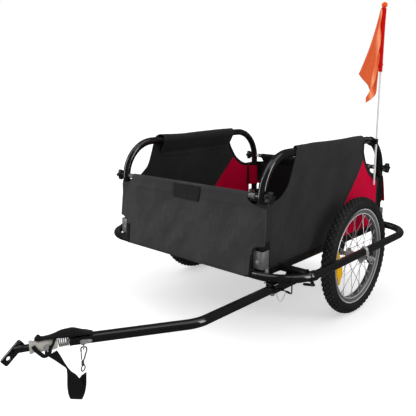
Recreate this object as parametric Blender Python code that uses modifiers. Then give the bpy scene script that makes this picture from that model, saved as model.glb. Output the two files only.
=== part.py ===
"""Two-wheeled bicycle cargo trailer with folding hoops, fabric box, drawbar and flag.

Metres, +Z up. The trailer drives towards -Y and its left side is +X. Every height is
above the ground, and every y below is measured from the wheel axle, which the parent
empty places at AXLE_Y so that the whole outline is centred on the origin.
"""
import math

import bmesh
import bpy
from mathutils import Matrix, Vector

# Overall layout
AXLE_Y = 0.3909
WHEEL_X = 0.3655
AXLE_Z = 0.197
TYRE_R = 0.197
TUBE_R = 0.0125
GAP = 0.0003

# Frame loop round the wheels
BEAM_Z = 0.231
BEAM_Y = -0.444
GUARD_X = 0.418
GUARD_REAR_Y = 0.327
LOOP_R = 0.120
SOCKET_ANGLE = math.radians(-5)
PIN_ANGLE = math.radians(-10.5)
PLUG_ANGLE = math.radians(-17)
COLLAR_R = 0.0150

# Side rails and floor
RAIL_X = 0.2965
RAIL_Z = 0.235
RAIL_SIZE = 0.025
RAIL_END_GAP = 0.0012
FLOOR_TOP_Z = 0.233
FLOOR_THICK = 0.004
OUTRIGGER_Y = -0.352
OUTRIGGER_R = 0.011

# Folding hoops
HOOP_X = 0.294
HOOP_FRONT_Y = -0.426
HOOP_REAR_Y = 0.296
HOOP_TOP_Z = 0.563
HOOP_CORNER_R = 0.120
FOLD_Z = 0.268
LEG_END_Z = 0.260
BOLT_R = 0.003
HOLE_R = 0.0033
FOLD_BOLT_SPAN = 0.0160

# Cross bars, knobs and end panels
BAR_Z = 0.453
BAR_R = 0.008
BAR_HALF = 0.274
BAR_SLOT_DEPTH = 0.015
STUD_R = 0.0028
STUD_IN_X = 0.2665
KNOB_R = 0.0185
KNOB_LOBES = 5
PANEL_THICK = 0.0022
SLEEVE_R = 0.0146
SLEEVE_BORE_R = 0.0128
PANEL_LOW_Z = 0.2225
FRONT_PANEL_X = 0.274
FRONT_PANEL_TOP_Y = -0.4354
FRONT_PANEL_LOW_Y = -0.4592
REAR_PANEL_X = 0.272
REAR_FLANK_X = 0.311
REAR_FLANK_Z = 0.405
REAR_PANEL_TOP_Y = 0.3056
REAR_PANEL_LOW_Y = 0.3425
SIDE_PANEL_X = 0.3080
SIDE_PANEL_LOW_Z = 0.251
SLEEVE_LOW_Z = 0.3120
FRONT_SLEEVE_TOP_Z = 0.4340
REAR_SLEEVE_TOP_Z = 0.4210
TOP_SLEEVE_FRONT_Y = -0.285
TOP_SLEEVE_REAR_Y = 0.139

# Wheels
RIM_R = 0.160
RIM_BED_R = 0.1405
RIM_HALF = 0.013
TYRE_SECTION_R = 0.0235
HUB_HALF = 0.0325
FLANGE_X = 0.0243
FLANGE_R = 0.0215
SPOKES_PER_SIDE = 14
SPOKE_R = 0.0010
AXLE_R = 0.005

# Drawbar and hitch
DRAWBAR_Z = 0.2015
DRAWBAR_X = 0.345
DRAWBAR_REAR_Y = -0.370
DRAWBAR_BEND_Y = -0.736
DRAWBAR_TIP = Vector((0.192, -0.989, DRAWBAR_Z))
DRAWBAR_BOLT_Y = -0.4375
DRAWBAR_PIN_Y = -0.388
HITCH_DIRECTION = Vector((-0.417, -0.909, 0.0)).normalized()
ACROSS = HITCH_DIRECTION.cross(Vector((0, 0, 1)))
COUPLING_BOLT_S = 0.052
YAW_S = 0.004
PITCH_S = 0.0275
SPRING_TURNS = 5
SPRING_WIRE_R = 0.0015
SPRING_R = 0.0100
SPRING_START = 0.0010
SPRING_END = 0.0265
COUPLING_END = 0.088
ROD_R = 0.008
ROD_START = 0.066
ROD_END = 0.117
PLATE_X = 0.1375
PLATE_HALF_THICK = 0.003

# Flag
POLE_X = 0.3145
POLE_Y = 0.2145
POLE_R = 0.0035
POLE_LOW_Z = 0.400
POLE_TOP_Z = 1.0075
BALL_R = 0.0078
FLAG_PLEAT = 0.009

# View-facing strap loop: w runs along the webbing's width, f away from it
STRAP_BASE = Vector((0.1960, -0.9760, 0.0))
STRAP_W = Vector((0.733, 0.680, 0.0))
STRAP_F = Vector((-0.680, 0.733, 0.0))


def clear_scene():
    for item in list(bpy.data.objects):
        bpy.data.objects.remove(item, do_unlink=True)


def collection(name):
    made = bpy.data.collections.new(name)
    bpy.context.scene.collection.children.link(made)
    return made


clear_scene()
PARTS = collection("bike_cargo_trailer")
TOOLS = collection("cutters")


def empty(name, place, parent=None):
    made = bpy.data.objects.new(name, None)
    PARTS.objects.link(made)
    if parent is not None:
        made.parent = parent
        made.location = Vector(place) - AXLE_FRAME_OFFSETS[parent.name]
    else:
        made.location = place
    AXLE_FRAME_OFFSETS[name] = Vector(place) if parent is not None else Vector((0, 0, 0))
    return made


AXLE_FRAME_OFFSETS = {}
AXLE_FRAME = empty("axle_frame", (0, AXLE_Y, 0))


def material(name, colour, roughness, metallic=0.0):
    made = bpy.data.materials.new(name)
    made.use_nodes = True
    shader = made.node_tree.nodes["Principled BSDF"]
    shader.inputs["Base Color"].default_value = (*colour, 1.0)
    shader.inputs["Roughness"].default_value = roughness
    shader.inputs["Metallic"].default_value = metallic
    made.diffuse_color = (*colour, 1.0)
    return made


BLACK_PAINT = ("black_paint", (0.018, 0.018, 0.019), 0.38, 0.0)
BLACK_FABRIC = ("black_fabric", (0.035, 0.035, 0.037), 0.85, 0.0)
RED_FABRIC = ("red_fabric", (0.50, 0.0, 0.035), 0.80, 0.0)
ZINC = ("zinc_steel", (0.62, 0.62, 0.63), 0.30, 1.0)
RIM_METAL = ("rim_alloy", (0.75, 0.75, 0.76), 0.28, 1.0)
RUBBER = ("tyre_rubber", (0.022, 0.022, 0.023), 0.80, 0.0)
KNOB_PLASTIC = ("knob_plastic", (0.020, 0.020, 0.021), 0.50, 0.0)
CREAM = ("cream_nylon", (0.74, 0.72, 0.64), 0.50, 0.0)
AMBER = ("amber_lens", (0.85, 0.42, 0.0), 0.20, 0.0)
WEBBING = ("black_webbing", (0.015, 0.015, 0.016), 0.85, 0.0)
WHITE_ROD = ("white_fibreglass", (0.85, 0.85, 0.85), 0.45, 0.0)
ORANGE = ("orange_flag", (0.90, 0.14, 0.02), 0.70, 0.0)


def show(piece, finish, parent=None):
    """Give a piece its material and hang it from the axle frame or its joint's empty."""
    piece.data.materials.clear()
    piece.data.materials.append(material(piece.name + "_" + finish[0], *finish[1:]))
    holder = parent or AXLE_FRAME
    piece.parent = holder
    piece.location = Vector(piece.location) - AXLE_FRAME_OFFSETS[holder.name]
    return piece


def hide_tool(tool):
    """Keep a Boolean operand out of the model."""
    for owner in list(tool.users_collection):
        owner.objects.unlink(tool)
    TOOLS.objects.link(tool)
    tool.parent = AXLE_FRAME
    tool.hide_render = True
    tool.display_type = 'WIRE'
    return tool


def combine(target, tool, operation):
    hide_tool(tool)
    step = target.modifiers.new(tool.name, 'BOOLEAN')
    step.operation = operation
    step.solver = 'EXACT'
    step.object = tool
    return target


def cut(target, *tools):
    for tool in tools:
        combine(target, tool, 'DIFFERENCE')
    return target


def join(target, *tools):
    for tool in tools:
        combine(target, tool, 'UNION')
    return target


def mesh_object(name, shape, smooth=True):
    data = bpy.data.meshes.new(name)
    shape.to_mesh(data)
    shape.free()
    if smooth:
        data.shade_smooth()
        data.set_sharp_from_angle(angle=math.radians(35))
    made = bpy.data.objects.new(name, data)
    PARTS.objects.link(made)
    return made


def box(name, low, high, bevel=0.0):
    low = Vector(low)
    high = Vector(high)
    size = high - low
    shape = bmesh.new()
    bmesh.ops.create_cube(shape, size=1.0)
    bmesh.ops.scale(shape, vec=size, verts=shape.verts)
    bmesh.ops.translate(shape, vec=(low + high) / 2, verts=shape.verts)
    if bevel:
        bmesh.ops.bevel(shape, geom=shape.edges[:], offset=bevel, segments=1,
                        affect='EDGES', profile=0.5, material=-1)
    return mesh_object(name, shape, smooth=False)


def along(start, end):
    """Matrix that carries the Z axis from start towards end, centred between them."""
    start = Vector(start)
    end = Vector(end)
    turn = (end - start).to_track_quat('Z', 'Y').to_matrix().to_4x4()
    return Matrix.Translation((start + end) / 2) @ turn


def rod(name, start, end, radius, sides=12, end_radius=None):
    shape = bmesh.new()
    length = (Vector(end) - Vector(start)).length
    bmesh.ops.create_cone(shape, cap_ends=True, segments=sides, radius1=radius,
                          radius2=radius if end_radius is None else end_radius, depth=length)
    bmesh.ops.transform(shape, matrix=along(start, end), verts=shape.verts)
    return mesh_object(name, shape)


def curve_mesh(name, curve_data):
    """Turn a curve into a closed mesh with welded caps."""
    guide = bpy.data.objects.new(name + "_guide", curve_data)
    PARTS.objects.link(guide)
    bpy.context.view_layer.update()
    evaluated = guide.evaluated_get(bpy.context.evaluated_depsgraph_get())
    data = bpy.data.meshes.new_from_object(evaluated)
    data.name = name
    shape = bmesh.new()
    shape.from_mesh(data)
    bmesh.ops.remove_doubles(shape, verts=shape.verts, dist=0.00002)
    shape.to_mesh(data)
    shape.free()
    data.shade_smooth()
    data.set_sharp_from_angle(angle=math.radians(35))
    made = bpy.data.objects.new(name, data)
    made.matrix_world = guide.matrix_world
    PARTS.objects.link(made)
    bpy.data.objects.remove(guide, do_unlink=True)
    return made


def tube(name, route, radius, sides=12, closed=False):
    data = bpy.data.curves.new(name, 'CURVE')
    data.dimensions = '3D'
    data.bevel_depth = radius
    data.bevel_resolution = (sides - 4) // 2
    data.use_fill_caps = not closed
    data.twist_mode = 'MINIMUM'
    spline = data.splines.new('POLY')
    spline.points.add(len(route) - 1)
    for point, place in zip(spline.points, route):
        point.co = (*place, 1.0)
    spline.use_cyclic_u = closed
    return curve_mesh(name, data)


def rounded(corners, radius, steps=6, closed=False):
    """Route through the corners with an arc of the given radius at each bend."""
    corners = [Vector(corner) for corner in corners]
    count = len(corners)
    route = []
    for index, corner in enumerate(corners):
        if not closed and index in (0, count - 1):
            route.append(corner)
            continue
        back = (corners[index - 1] - corner).normalized()
        ahead = (corners[(index + 1) % count] - corner).normalized()
        half = back.angle(ahead) / 2
        centre = corner + (back + ahead).normalized() * radius / math.sin(half)
        first = corner + back * radius / math.tan(half) - centre
        last = corner + ahead * radius / math.tan(half) - centre
        sweep = first.angle(last)
        for step in range(steps + 1):
            part = step / steps
            spoke = (first * math.sin((1 - part) * sweep) + last * math.sin(part * sweep))
            route.append(centre + spoke / math.sin(sweep))
    return route


def flat(name, outline, thickness, across, up, centre):
    """Flat plate: outline in (across, up) coordinates, thickness centred on the plane."""
    data = bpy.data.curves.new(name, 'CURVE')
    data.dimensions = '2D'
    data.fill_mode = 'BOTH'
    data.extrude = thickness / 2
    spline = data.splines.new('POLY')
    spline.points.add(len(outline) - 1)
    for point, place in zip(spline.points, outline):
        point.co = (place[0], place[1], 0.0, 1.0)
    spline.use_cyclic_u = True
    made = curve_mesh(name, data)
    across = Vector(across).normalized()
    up = Vector(up).normalized()
    normal = across.cross(up)
    turn = Matrix((across, up, normal)).transposed().to_4x4()
    made.data.transform(Matrix.Translation(centre) @ turn)
    return made


def turned(name, profile, centre, axis, steps=32, ring=False):
    """Turned shape: profile of (radius, height) pairs, listed top to bottom outside."""
    data = bpy.data.meshes.new(name)
    shape = bmesh.new()
    points = [shape.verts.new((radius, 0.0, height)) for radius, height in profile]
    for first, second in zip(points, points[1:]):
        shape.edges.new((first, second))
    if ring:
        shape.edges.new((points[-1], points[0]))
    shape.to_mesh(data)
    shape.free()
    made = bpy.data.objects.new(name, data)
    PARTS.objects.link(made)
    screw = made.modifiers.new("turn", 'SCREW')
    screw.axis = 'Z'
    screw.angle = math.tau
    screw.steps = steps
    screw.render_steps = steps
    screw.use_merge_vertices = True
    screw.merge_threshold = 0.00001
    screw.use_smooth_shade = True
    bpy.context.view_layer.update()
    evaluated = made.evaluated_get(bpy.context.evaluated_depsgraph_get())
    solid = bpy.data.meshes.new_from_object(evaluated)
    made.modifiers.clear()
    made.data = solid
    solid.name = name
    turn = Vector(axis).to_track_quat('Z', 'Y').to_matrix().to_4x4()
    solid.transform(Matrix.Translation(centre) @ turn)
    solid.set_sharp_from_angle(angle=math.radians(35))
    return made


def sleeve(name, start, end, outer, inner, sides=16):
    """Fabric or metal sleeve with an open bore, plus the bore for later cuts."""
    start = Vector(start)
    end = Vector(end)
    reach = (end - start).normalized() * 0.004
    bore = rod(name + "_bore", start - reach, end + reach, inner, sides)
    return rod(name, start, end, outer, sides), bore


def loop_point(angle, side, y_centre, radius=LOOP_R):
    """Point on the frame loop's corner arc, whose centre is inboard of the guard."""
    x = GUARD_X - LOOP_R + radius * math.cos(angle)
    return Vector((side * x, y_centre + radius * math.sin(angle), BEAM_Z))


FRONT_ARC_Y = BEAM_Y + LOOP_R
REAR_ARC_Y = GUARD_REAR_Y - LOOP_R


def front_arc(side, start, end, steps):
    """Arc whose first and last short steps keep both cut faces square to it."""
    edge = math.copysign(math.radians(0.3), end - start)
    angles = [start + (end - start) * step / steps for step in range(steps + 1)]
    angles = [start, start + edge] + angles[1:-1] + [end - edge, end]
    return [loop_point(angle, side, FRONT_ARC_Y) for angle in angles]


def pin_place(side):
    return loop_point(PIN_ANGLE, side, FRONT_ARC_Y)


def pin_hole(name, side):
    place = pin_place(side)
    low = place - Vector((0, 0, 0.03))
    high = place + Vector((0, 0, 0.03))
    return rod(name, low, high, HOLE_R, 10)


def front_beam():
    corner = math.radians(-90)
    left = front_arc(1, corner, SOCKET_ANGLE, 10)
    right = front_arc(-1, SOCKET_ANGLE, corner, 10)
    beam = tube("front_beam", right + left, TUBE_R)
    for side, label in ((1, "left"), (-1, "right")):
        collar = tube("beam_collar_" + label,
                      front_arc(side, SOCKET_ANGLE - math.radians(11), SOCKET_ANGLE, 2), COLLAR_R)
        socket = tube("beam_socket_" + label,
                      front_arc(side, math.radians(-19), math.radians(1), 5), 0.0100)
        join(beam, collar)
        cut(beam, socket, pin_hole("beam_pin_hole_" + label, side))
    return show(beam, BLACK_PAINT)


def wheel_guard():
    """One U-shaped tube behind the box and beside both wheels, plugged into the beam."""
    start = SOCKET_ANGLE + GAP / LOOP_R
    left = front_arc(1, start, 0.0, 2)
    rear = [loop_point(math.radians(9 * step), 1, REAR_ARC_Y) for step in range(11)]
    half = left + rear
    other = [Vector((-place.x, place.y, place.z)) for place in reversed(half)]
    guard = tube("wheel_guard", half + other, TUBE_R)
    for side, label in ((1, "left"), (-1, "right")):
        plug = tube("guard_plug_" + label,
                    front_arc(side, PLUG_ANGLE, SOCKET_ANGLE + math.radians(4), 5), 0.0095)
        join(guard, plug)
        cut(guard, pin_hole("guard_pin_hole_" + label, side))
    return show(guard, BLACK_PAINT)


def side_rail(side, label):
    front = BEAM_Y + TUBE_R + RAIL_END_GAP
    rear = GUARD_REAR_Y - TUBE_R - RAIL_END_GAP
    low = (side * RAIL_X - RAIL_SIZE / 2, front, RAIL_Z - RAIL_SIZE / 2)
    high = (side * RAIL_X + RAIL_SIZE / 2, rear, RAIL_Z + RAIL_SIZE / 2)
    rail = box("side_rail_" + label, low, high, bevel=0.002)
    brace = rod("outrigger_" + label, (side * RAIL_X, OUTRIGGER_Y, 0.2362),
                (side * 0.3965, OUTRIGGER_Y, 0.2362), OUTRIGGER_R)
    return show(join(rail, brace), BLACK_PAINT)


def floor_crossbar():
    reach = RAIL_X - RAIL_SIZE / 2 - GAP
    z = FLOOR_TOP_Z - FLOOR_THICK - GAP - 0.008
    bar = rod("floor_crossbar", (-reach, -0.06, z), (reach, -0.06, z), 0.008)
    return show(bar, BLACK_PAINT)


def floor_panel():
    reach = RAIL_X - RAIL_SIZE / 2 - 2 * GAP
    panel = box("floor_panel", (-reach, -0.4300, FLOOR_TOP_Z - FLOOR_THICK),
                (reach, 0.3130, FLOOR_TOP_Z), bevel=0.0008)
    return show(panel, BLACK_FABRIC)


def slotted_outline(top_half, low_half, top_z, low_z):
    """Dropout outline with an axle slot that opens downwards."""
    slot = AXLE_R + 0.0005
    arch = [(slot * math.cos(math.radians(22.5 * step)),
             AXLE_Z + slot * math.sin(math.radians(22.5 * step))) for step in range(9)]
    shoulder = top_z - 0.024
    return ([(-top_half, top_z), (-top_half, shoulder), (-low_half, low_z), (-slot, low_z)]
            + list(reversed(arch)) + [(slot, low_z), (low_half, low_z), (top_half, shoulder),
                                      (top_half, top_z)])


def dropouts(side, label):
    inner = flat("inner_dropout_" + label, slotted_outline(0.030, 0.013, 0.246, 0.184), 0.004,
                 (0, 1, 0), (0, 0, 1), (side * 0.3113, 0, 0))
    outer = flat("outer_dropout_" + label, slotted_outline(0.020, 0.012, 0.2180, 0.184), 0.003,
                 (0, 1, 0), (0, 0, 1), (side * 0.4180, 0, 0))
    show(inner, BLACK_PAINT)
    show(outer, BLACK_PAINT)


def leg_bracket(side, leg_y, label):
    """Channel that opens inwards and upwards, with a tab down the rail's outer face."""
    away = 1 if leg_y > 0 else -1
    outer_x = 0.3118
    web_x = 0.3094
    half = 0.0157
    inner_half = 0.0133

    def span(x_low, x_high):
        return sorted((side * x_low, side * x_high))

    x_low, x_high = span(0.279, outer_x)
    bracket = box("leg_bracket_" + label, (x_low, leg_y - half, 0.2479),
                  (x_high, leg_y + half, 0.300))
    x_low, x_high = span(0.260, web_x)
    hollow = box("bracket_hollow_" + label, (x_low, leg_y - inner_half, 0.2503),
                 (x_high, leg_y + inner_half, 0.310))
    x_low, x_high = span(web_x, outer_x)
    y_near, y_far = sorted((leg_y + away * 0.0025, leg_y - away * half))
    tab = box("bracket_tab_" + label, (x_low, y_near, 0.226), (x_high, y_far, 0.249))
    head_y = (y_near + y_far) / 2
    head = rod("bracket_bolt_head_" + label, (side * 0.3110, head_y, 0.2385),
               (side * 0.3150, head_y, 0.2385), 0.0052, 10, 0.0035)
    hole = rod("bracket_hole_" + label, (side * HOOP_X, leg_y - 0.03, FOLD_Z),
               (side * HOOP_X, leg_y + 0.03, FOLD_Z), HOLE_R, 10)
    cut(bracket, hollow)
    join(bracket, tab, head)
    cut(bracket, hole)
    return show(bracket, BLACK_PAINT)


def fold_bolt(side, leg_y, label):
    away = 1 if leg_y > 0 else -1
    x = side * HOOP_X
    head_y = leg_y + away * FOLD_BOLT_SPAN
    nut_y = leg_y - away * FOLD_BOLT_SPAN
    bolt = rod("fold_bolt_" + label, (x, nut_y - away * 0.0045, FOLD_Z),
               (x, head_y + away * 0.0010, FOLD_Z), BOLT_R, 10)
    head = rod("fold_bolt_head_" + label, (x, head_y, FOLD_Z),
               (x, head_y + away * 0.0032, FOLD_Z), 0.0056, 12, 0.0036)
    nut = rod("fold_bolt_nut_" + label, (x, nut_y, FOLD_Z), (x, nut_y - away * 0.0036, FOLD_Z),
              0.0058, 6)
    return show(join(bolt, head, nut), ZINC)


def hoop(side, label, fold):
    x = side * HOOP_X
    route = rounded([(x, HOOP_FRONT_Y, LEG_END_Z), (x, HOOP_FRONT_Y, HOOP_TOP_Z),
                     (x, HOOP_REAR_Y, HOOP_TOP_Z), (x, HOOP_REAR_Y, LEG_END_Z)],
                    HOOP_CORNER_R, steps=12)
    arch = tube("hoop_" + label, route, TUBE_R)
    for leg_y, end in ((HOOP_FRONT_Y, "front"), (HOOP_REAR_Y, "rear")):
        pivot = rod("hoop_pivot_hole_" + label + end, (x, leg_y - 0.02, FOLD_Z),
                    (x, leg_y + 0.02, FOLD_Z), HOLE_R, 10)
        stud = rod("hoop_stud_hole_" + label + end, (x - 0.02, leg_y, BAR_Z),
                   (x + 0.02, leg_y, BAR_Z), HOLE_R, 10)
        cut(arch, pivot, stud)
    return show(arch, BLACK_PAINT, fold)


def quadratic(start, middle, end, steps):
    """Points of a curve from start to end that bends towards middle."""
    points = []
    for step in range(steps + 1):
        t = step / steps
        points.append(tuple((1 - t) ** 2 * a + 2 * t * (1 - t) * b + t ** 2 * c
                            for a, b, c in zip(start, middle, end)))
    return points


def side_panel_outline():
    """Side fabric seen from the left: (y, z), with a hand-hole cut at each hoop corner."""
    low = SLEEVE_LOW_Z + 0.002
    front_top = FRONT_SLEEVE_TOP_Z - 0.002
    rear_low = low + 0.002
    rear_top = REAR_SLEEVE_TOP_Z - 0.0035
    front_hole = quadratic((TOP_SLEEVE_FRONT_Y + 0.002, HOOP_TOP_Z), (-0.300, 0.434),
                           (-0.400, front_top), 8)
    rear_hole = quadratic((0.275, rear_top), (0.165, 0.430),
                          (TOP_SLEEVE_REAR_Y - 0.002, HOOP_TOP_Z), 8)
    return (list(reversed(front_hole)) + list(reversed(rear_hole))
            + [(HOOP_REAR_Y, rear_top), (HOOP_REAR_Y, rear_low), (0.275, rear_low),
               (0.275, SIDE_PANEL_LOW_Z), (-0.405, SIDE_PANEL_LOW_Z), (-0.405, low),
               (HOOP_FRONT_Y, low), (HOOP_FRONT_Y, front_top)])


def side_panel(side, label, fold):
    x = side * HOOP_X
    panel = flat("side_panel_" + label, side_panel_outline(), PANEL_THICK,
                 (0, 1, 0), (0, 0, 1), (side * SIDE_PANEL_X, 0, 0))
    top, top_bore = sleeve("top_sleeve_" + label, (x, TOP_SLEEVE_FRONT_Y, HOOP_TOP_Z),
                           (x, TOP_SLEEVE_REAR_Y, HOOP_TOP_Z), SLEEVE_R, SLEEVE_BORE_R)
    front, front_bore = sleeve("front_sleeve_" + label, (x, HOOP_FRONT_Y, SLEEVE_LOW_Z),
                               (x, HOOP_FRONT_Y, FRONT_SLEEVE_TOP_Z), SLEEVE_R, SLEEVE_BORE_R)
    rear, rear_bore = sleeve("rear_sleeve_" + label, (x, HOOP_REAR_Y, SLEEVE_LOW_Z),
                             (x, HOOP_REAR_Y, REAR_SLEEVE_TOP_Z), SLEEVE_R, SLEEVE_BORE_R)
    join(panel, top, front, rear)
    cut(panel, top_bore, front_bore, rear_bore)
    return show(panel, BLACK_FABRIC, fold)


def cross_bar(leg_y, label, gate):
    """Tube between the legs whose ends fork round the knob studs, open towards the box."""
    inward = -1 if leg_y > 0 else 1
    bar = rod("cross_bar_" + label, (-BAR_HALF, leg_y, BAR_Z), (BAR_HALF, leg_y, BAR_Z),
              BAR_R, 14)
    for side, end in ((1, "left"), (-1, "right")):
        x_low, x_high = sorted((side * (BAR_HALF - BAR_SLOT_DEPTH), side * (BAR_HALF + 0.01)))
        y_low, y_high = sorted((leg_y - inward * 0.0034, leg_y + inward * 0.012))
        cut(bar, box("bar_slot_" + label + end, (x_low, y_low, BAR_Z - 0.0058),
                     (x_high, y_high, BAR_Z + 0.0058)))
    return show(bar, ZINC, gate)


def end_panel(label, leg_y, top_y, low_y, outline, finish, gate):
    """Fabric end wall that hangs from its cross bar and hinges at its lower hem."""
    up = Vector((0, top_y - low_y, BAR_Z - PANEL_LOW_Z))
    panel = flat(label + "_panel", outline, PANEL_THICK, (1, 0, 0), up,
                 (0, low_y, PANEL_LOW_Z))
    hem, bore = sleeve("bar_sleeve_" + label, (-0.250, leg_y, BAR_Z), (0.250, leg_y, BAR_Z),
                       0.0105, 0.0083, 14)
    cut(join(panel, hem), bore)
    return show(panel, finish, gate)


def end_panels(front_gate, rear_gate):
    front_length = math.hypot(FRONT_PANEL_TOP_Y - FRONT_PANEL_LOW_Y, BAR_Z - PANEL_LOW_Z)
    x = FRONT_PANEL_X
    front = [(-x, 0.0), (x, 0.0), (0.250, front_length), (-0.250, front_length)]
    end_panel("front", HOOP_FRONT_Y, FRONT_PANEL_TOP_Y, FRONT_PANEL_LOW_Y, front,
              BLACK_FABRIC, front_gate)
    rear_length = math.hypot(REAR_PANEL_TOP_Y - REAR_PANEL_LOW_Y, BAR_Z - PANEL_LOW_Z)
    flank = (REAR_FLANK_Z - PANEL_LOW_Z) * rear_length / (BAR_Z - PANEL_LOW_Z)
    x = REAR_PANEL_X
    rear = [(-REAR_FLANK_X, 0.0), (REAR_FLANK_X, 0.0), (REAR_FLANK_X, flank), (x, flank),
            (0.250, rear_length), (-0.250, rear_length), (-x, flank), (-REAR_FLANK_X, flank)]
    end_panel("rear", HOOP_REAR_Y, REAR_PANEL_TOP_Y, REAR_PANEL_LOW_Y, rear,
              RED_FABRIC, rear_gate)


def knob(side, leg_y, label, fold):
    """Star knob outside the leg with its stud through to the cross bar."""
    lobes = []
    for step in range(6 * KNOB_LOBES):
        angle = math.tau * step / (6 * KNOB_LOBES)
        reach = KNOB_R - 0.0022 + 0.0022 * math.cos(KNOB_LOBES * angle)
        lobes.append((reach * math.cos(angle), reach * math.sin(angle)))
    centre = Vector((side * 0.3220, leg_y, BAR_Z))
    star = flat("knob_" + label, lobes, 0.015, (0, 1, 0), (0, 0, 1), centre)
    boss = rod("knob_boss_" + label, (side * 0.3070, leg_y, BAR_Z),
               (side * 0.3200, leg_y, BAR_Z), 0.0085)
    stud = rod("knob_stud_" + label, (side * STUD_IN_X, leg_y, BAR_Z),
               (side * 0.3200, leg_y, BAR_Z), STUD_R, 10)
    axis = empty("knob_axis_" + label, centre, fold)
    return show(join(star, boss, stud), KNOB_PLASTIC, axis)


def tyre_profile():
    """Tyre section, top to bottom round the tread, then back up inside the rim."""
    centre = TYRE_R - TYRE_SECTION_R
    lip_r = RIM_R + 0.0005
    start = math.acos((lip_r - centre) / TYRE_SECTION_R)
    outside = []
    for step in range(9):
        angle = start - 2 * start * step / 8
        outside.append((centre + TYRE_SECTION_R * math.cos(angle),
                        TYRE_SECTION_R * math.sin(angle)))
    bead = RIM_HALF - 0.0018
    return outside + [(lip_r, -bead), (0.1545, -bead), (0.1545, bead), (lip_r, bead)]


def rim_profile():
    half = RIM_HALF
    side = [(RIM_R, half), (0.1500, half - 0.0002), (0.1420, 0.0085), (RIM_BED_R, 0.0),
            (0.1420, -0.0085), (0.1500, -half + 0.0002), (RIM_R, -half)]
    seat = [(RIM_R, -half + 0.0012), (0.1537, -half + 0.0014), (0.1520, 0.0),
            (0.1537, half - 0.0014), (RIM_R, half - 0.0012)]
    return list(reversed(side + seat))


def hub_profile():
    bore = AXLE_R + 0.0006
    outer = [(0.0120, HUB_HALF), (0.0135, 0.0268), (FLANGE_R, 0.0260), (FLANGE_R, 0.0226),
             (0.0138, 0.0212), (0.0120, 0.0)]
    lower = [(radius, -height) for radius, height in reversed(outer[:-1])]
    return outer + lower + [(bore, -HUB_HALF), (bore, HUB_HALF)]


def spoke_ends(side, index):
    """Hub hole and rim hole of one spoke in a crossed pattern."""
    pitch = math.tau / SPOKES_PER_SIDE
    hub_angle = index * pitch + (0 if side > 0 else pitch / 2)
    lead = 2 * pitch if index % 2 else -2 * pitch
    hub_x = side * (FLANGE_X + (0.0010 if index % 2 else -0.0010))
    rim_angle = hub_angle + lead
    start = Vector((hub_x, 0.0190 * math.cos(hub_angle), 0.0190 * math.sin(hub_angle)))
    reach = RIM_BED_R - GAP
    end = Vector((side * 0.0030, reach * math.cos(rim_angle), reach * math.sin(rim_angle)))
    return start, end


def wheel(side, label, axis):
    centre = Vector((side * WHEEL_X, 0, AXLE_Z))
    across = (1, 0, 0)
    show(turned("tyre_" + label, tyre_profile(), centre, across, 40, ring=True), RUBBER, axis)
    show(turned("rim_" + label, rim_profile(), centre, across, 36, ring=True), RIM_METAL, axis)
    hub = turned("wheel_hub_" + label, hub_profile(), centre, across, 20, ring=True)
    for flange in (1, -1):
        for index in range(SPOKES_PER_SIDE):
            start, end = spoke_ends(flange, index)
            name = "spoke_" + label + str(flange) + "_" + str(index)
            join(hub, rod(name, centre + start, centre + end, SPOKE_R, 5))
    show(hub, ZINC, axis)
    lens = []
    for edge in (1, -1):
        for step in range(9):
            part = (step / 9 - 0.5) * 2 * edge
            lens.append((part * 0.062, edge * 0.016 * (1 - part * part)))
    radial = Vector((0, -0.108, -0.016)).normalized()
    tangent = Vector((0, radial.z, -radial.y))
    reflector = flat("spoke_reflector_" + label, lens, 0.006, tangent, radial,
                     centre + radial * 0.112)
    show(reflector, AMBER, axis)


def axle(side, label):
    """Fixed axle with its cones, inner hexagon head and outer nut."""
    inner = 0.2960
    outer = 0.4370
    profile = [(0.0, outer), (AXLE_R, outer), (AXLE_R, 0.4162), (0.0078, 0.4162),
               (0.0078, 0.3985), (AXLE_R, 0.3985), (AXLE_R, 0.3325), (0.0078, 0.3325),
               (0.0078, 0.3136), (AXLE_R, 0.3136), (AXLE_R, inner), (0.0, inner)]
    if side < 0:
        profile = [(radius, -height) for radius, height in reversed(profile)]
    shaft = turned("axle_" + label, profile, (0, 0, AXLE_Z), (1, 0, 0), 12)
    head = rod("axle_head_" + label, (side * 0.3000, 0, AXLE_Z), (side * 0.3090, 0, AXLE_Z),
               0.0088, 6)
    nut = rod("axle_nut_" + label, (side * 0.4198, 0, AXLE_Z), (side * 0.4290, 0, AXLE_Z),
              0.0092, 6)
    return show(join(shaft, head, nut), ZINC)


def guard_pin(side, label):
    """Lock pin through the beam socket, with its wire handle below."""
    place = pin_place(side)
    x, y = place.x, place.y
    axis = empty("guard_pin_axis_" + label, place, AXLE_FRAME)
    pin = rod("guard_pin_" + label, (x, y, 0.2065), (x, y, 0.2470), BOLT_R, 10)
    z = 0.2055
    handle = tube("guard_pin_handle_" + label,
                  rounded([(x + side * 0.010, y - 0.006, z), (x - side * 0.018, y - 0.019, z),
                           (x - side * 0.022, y - 0.009, z), (x + side * 0.004, y + 0.005, z)],
                          0.004, steps=3, closed=True), 0.0017, 8, closed=True)
    return show(join(pin, handle), BLACK_PAINT, axis)


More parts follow.
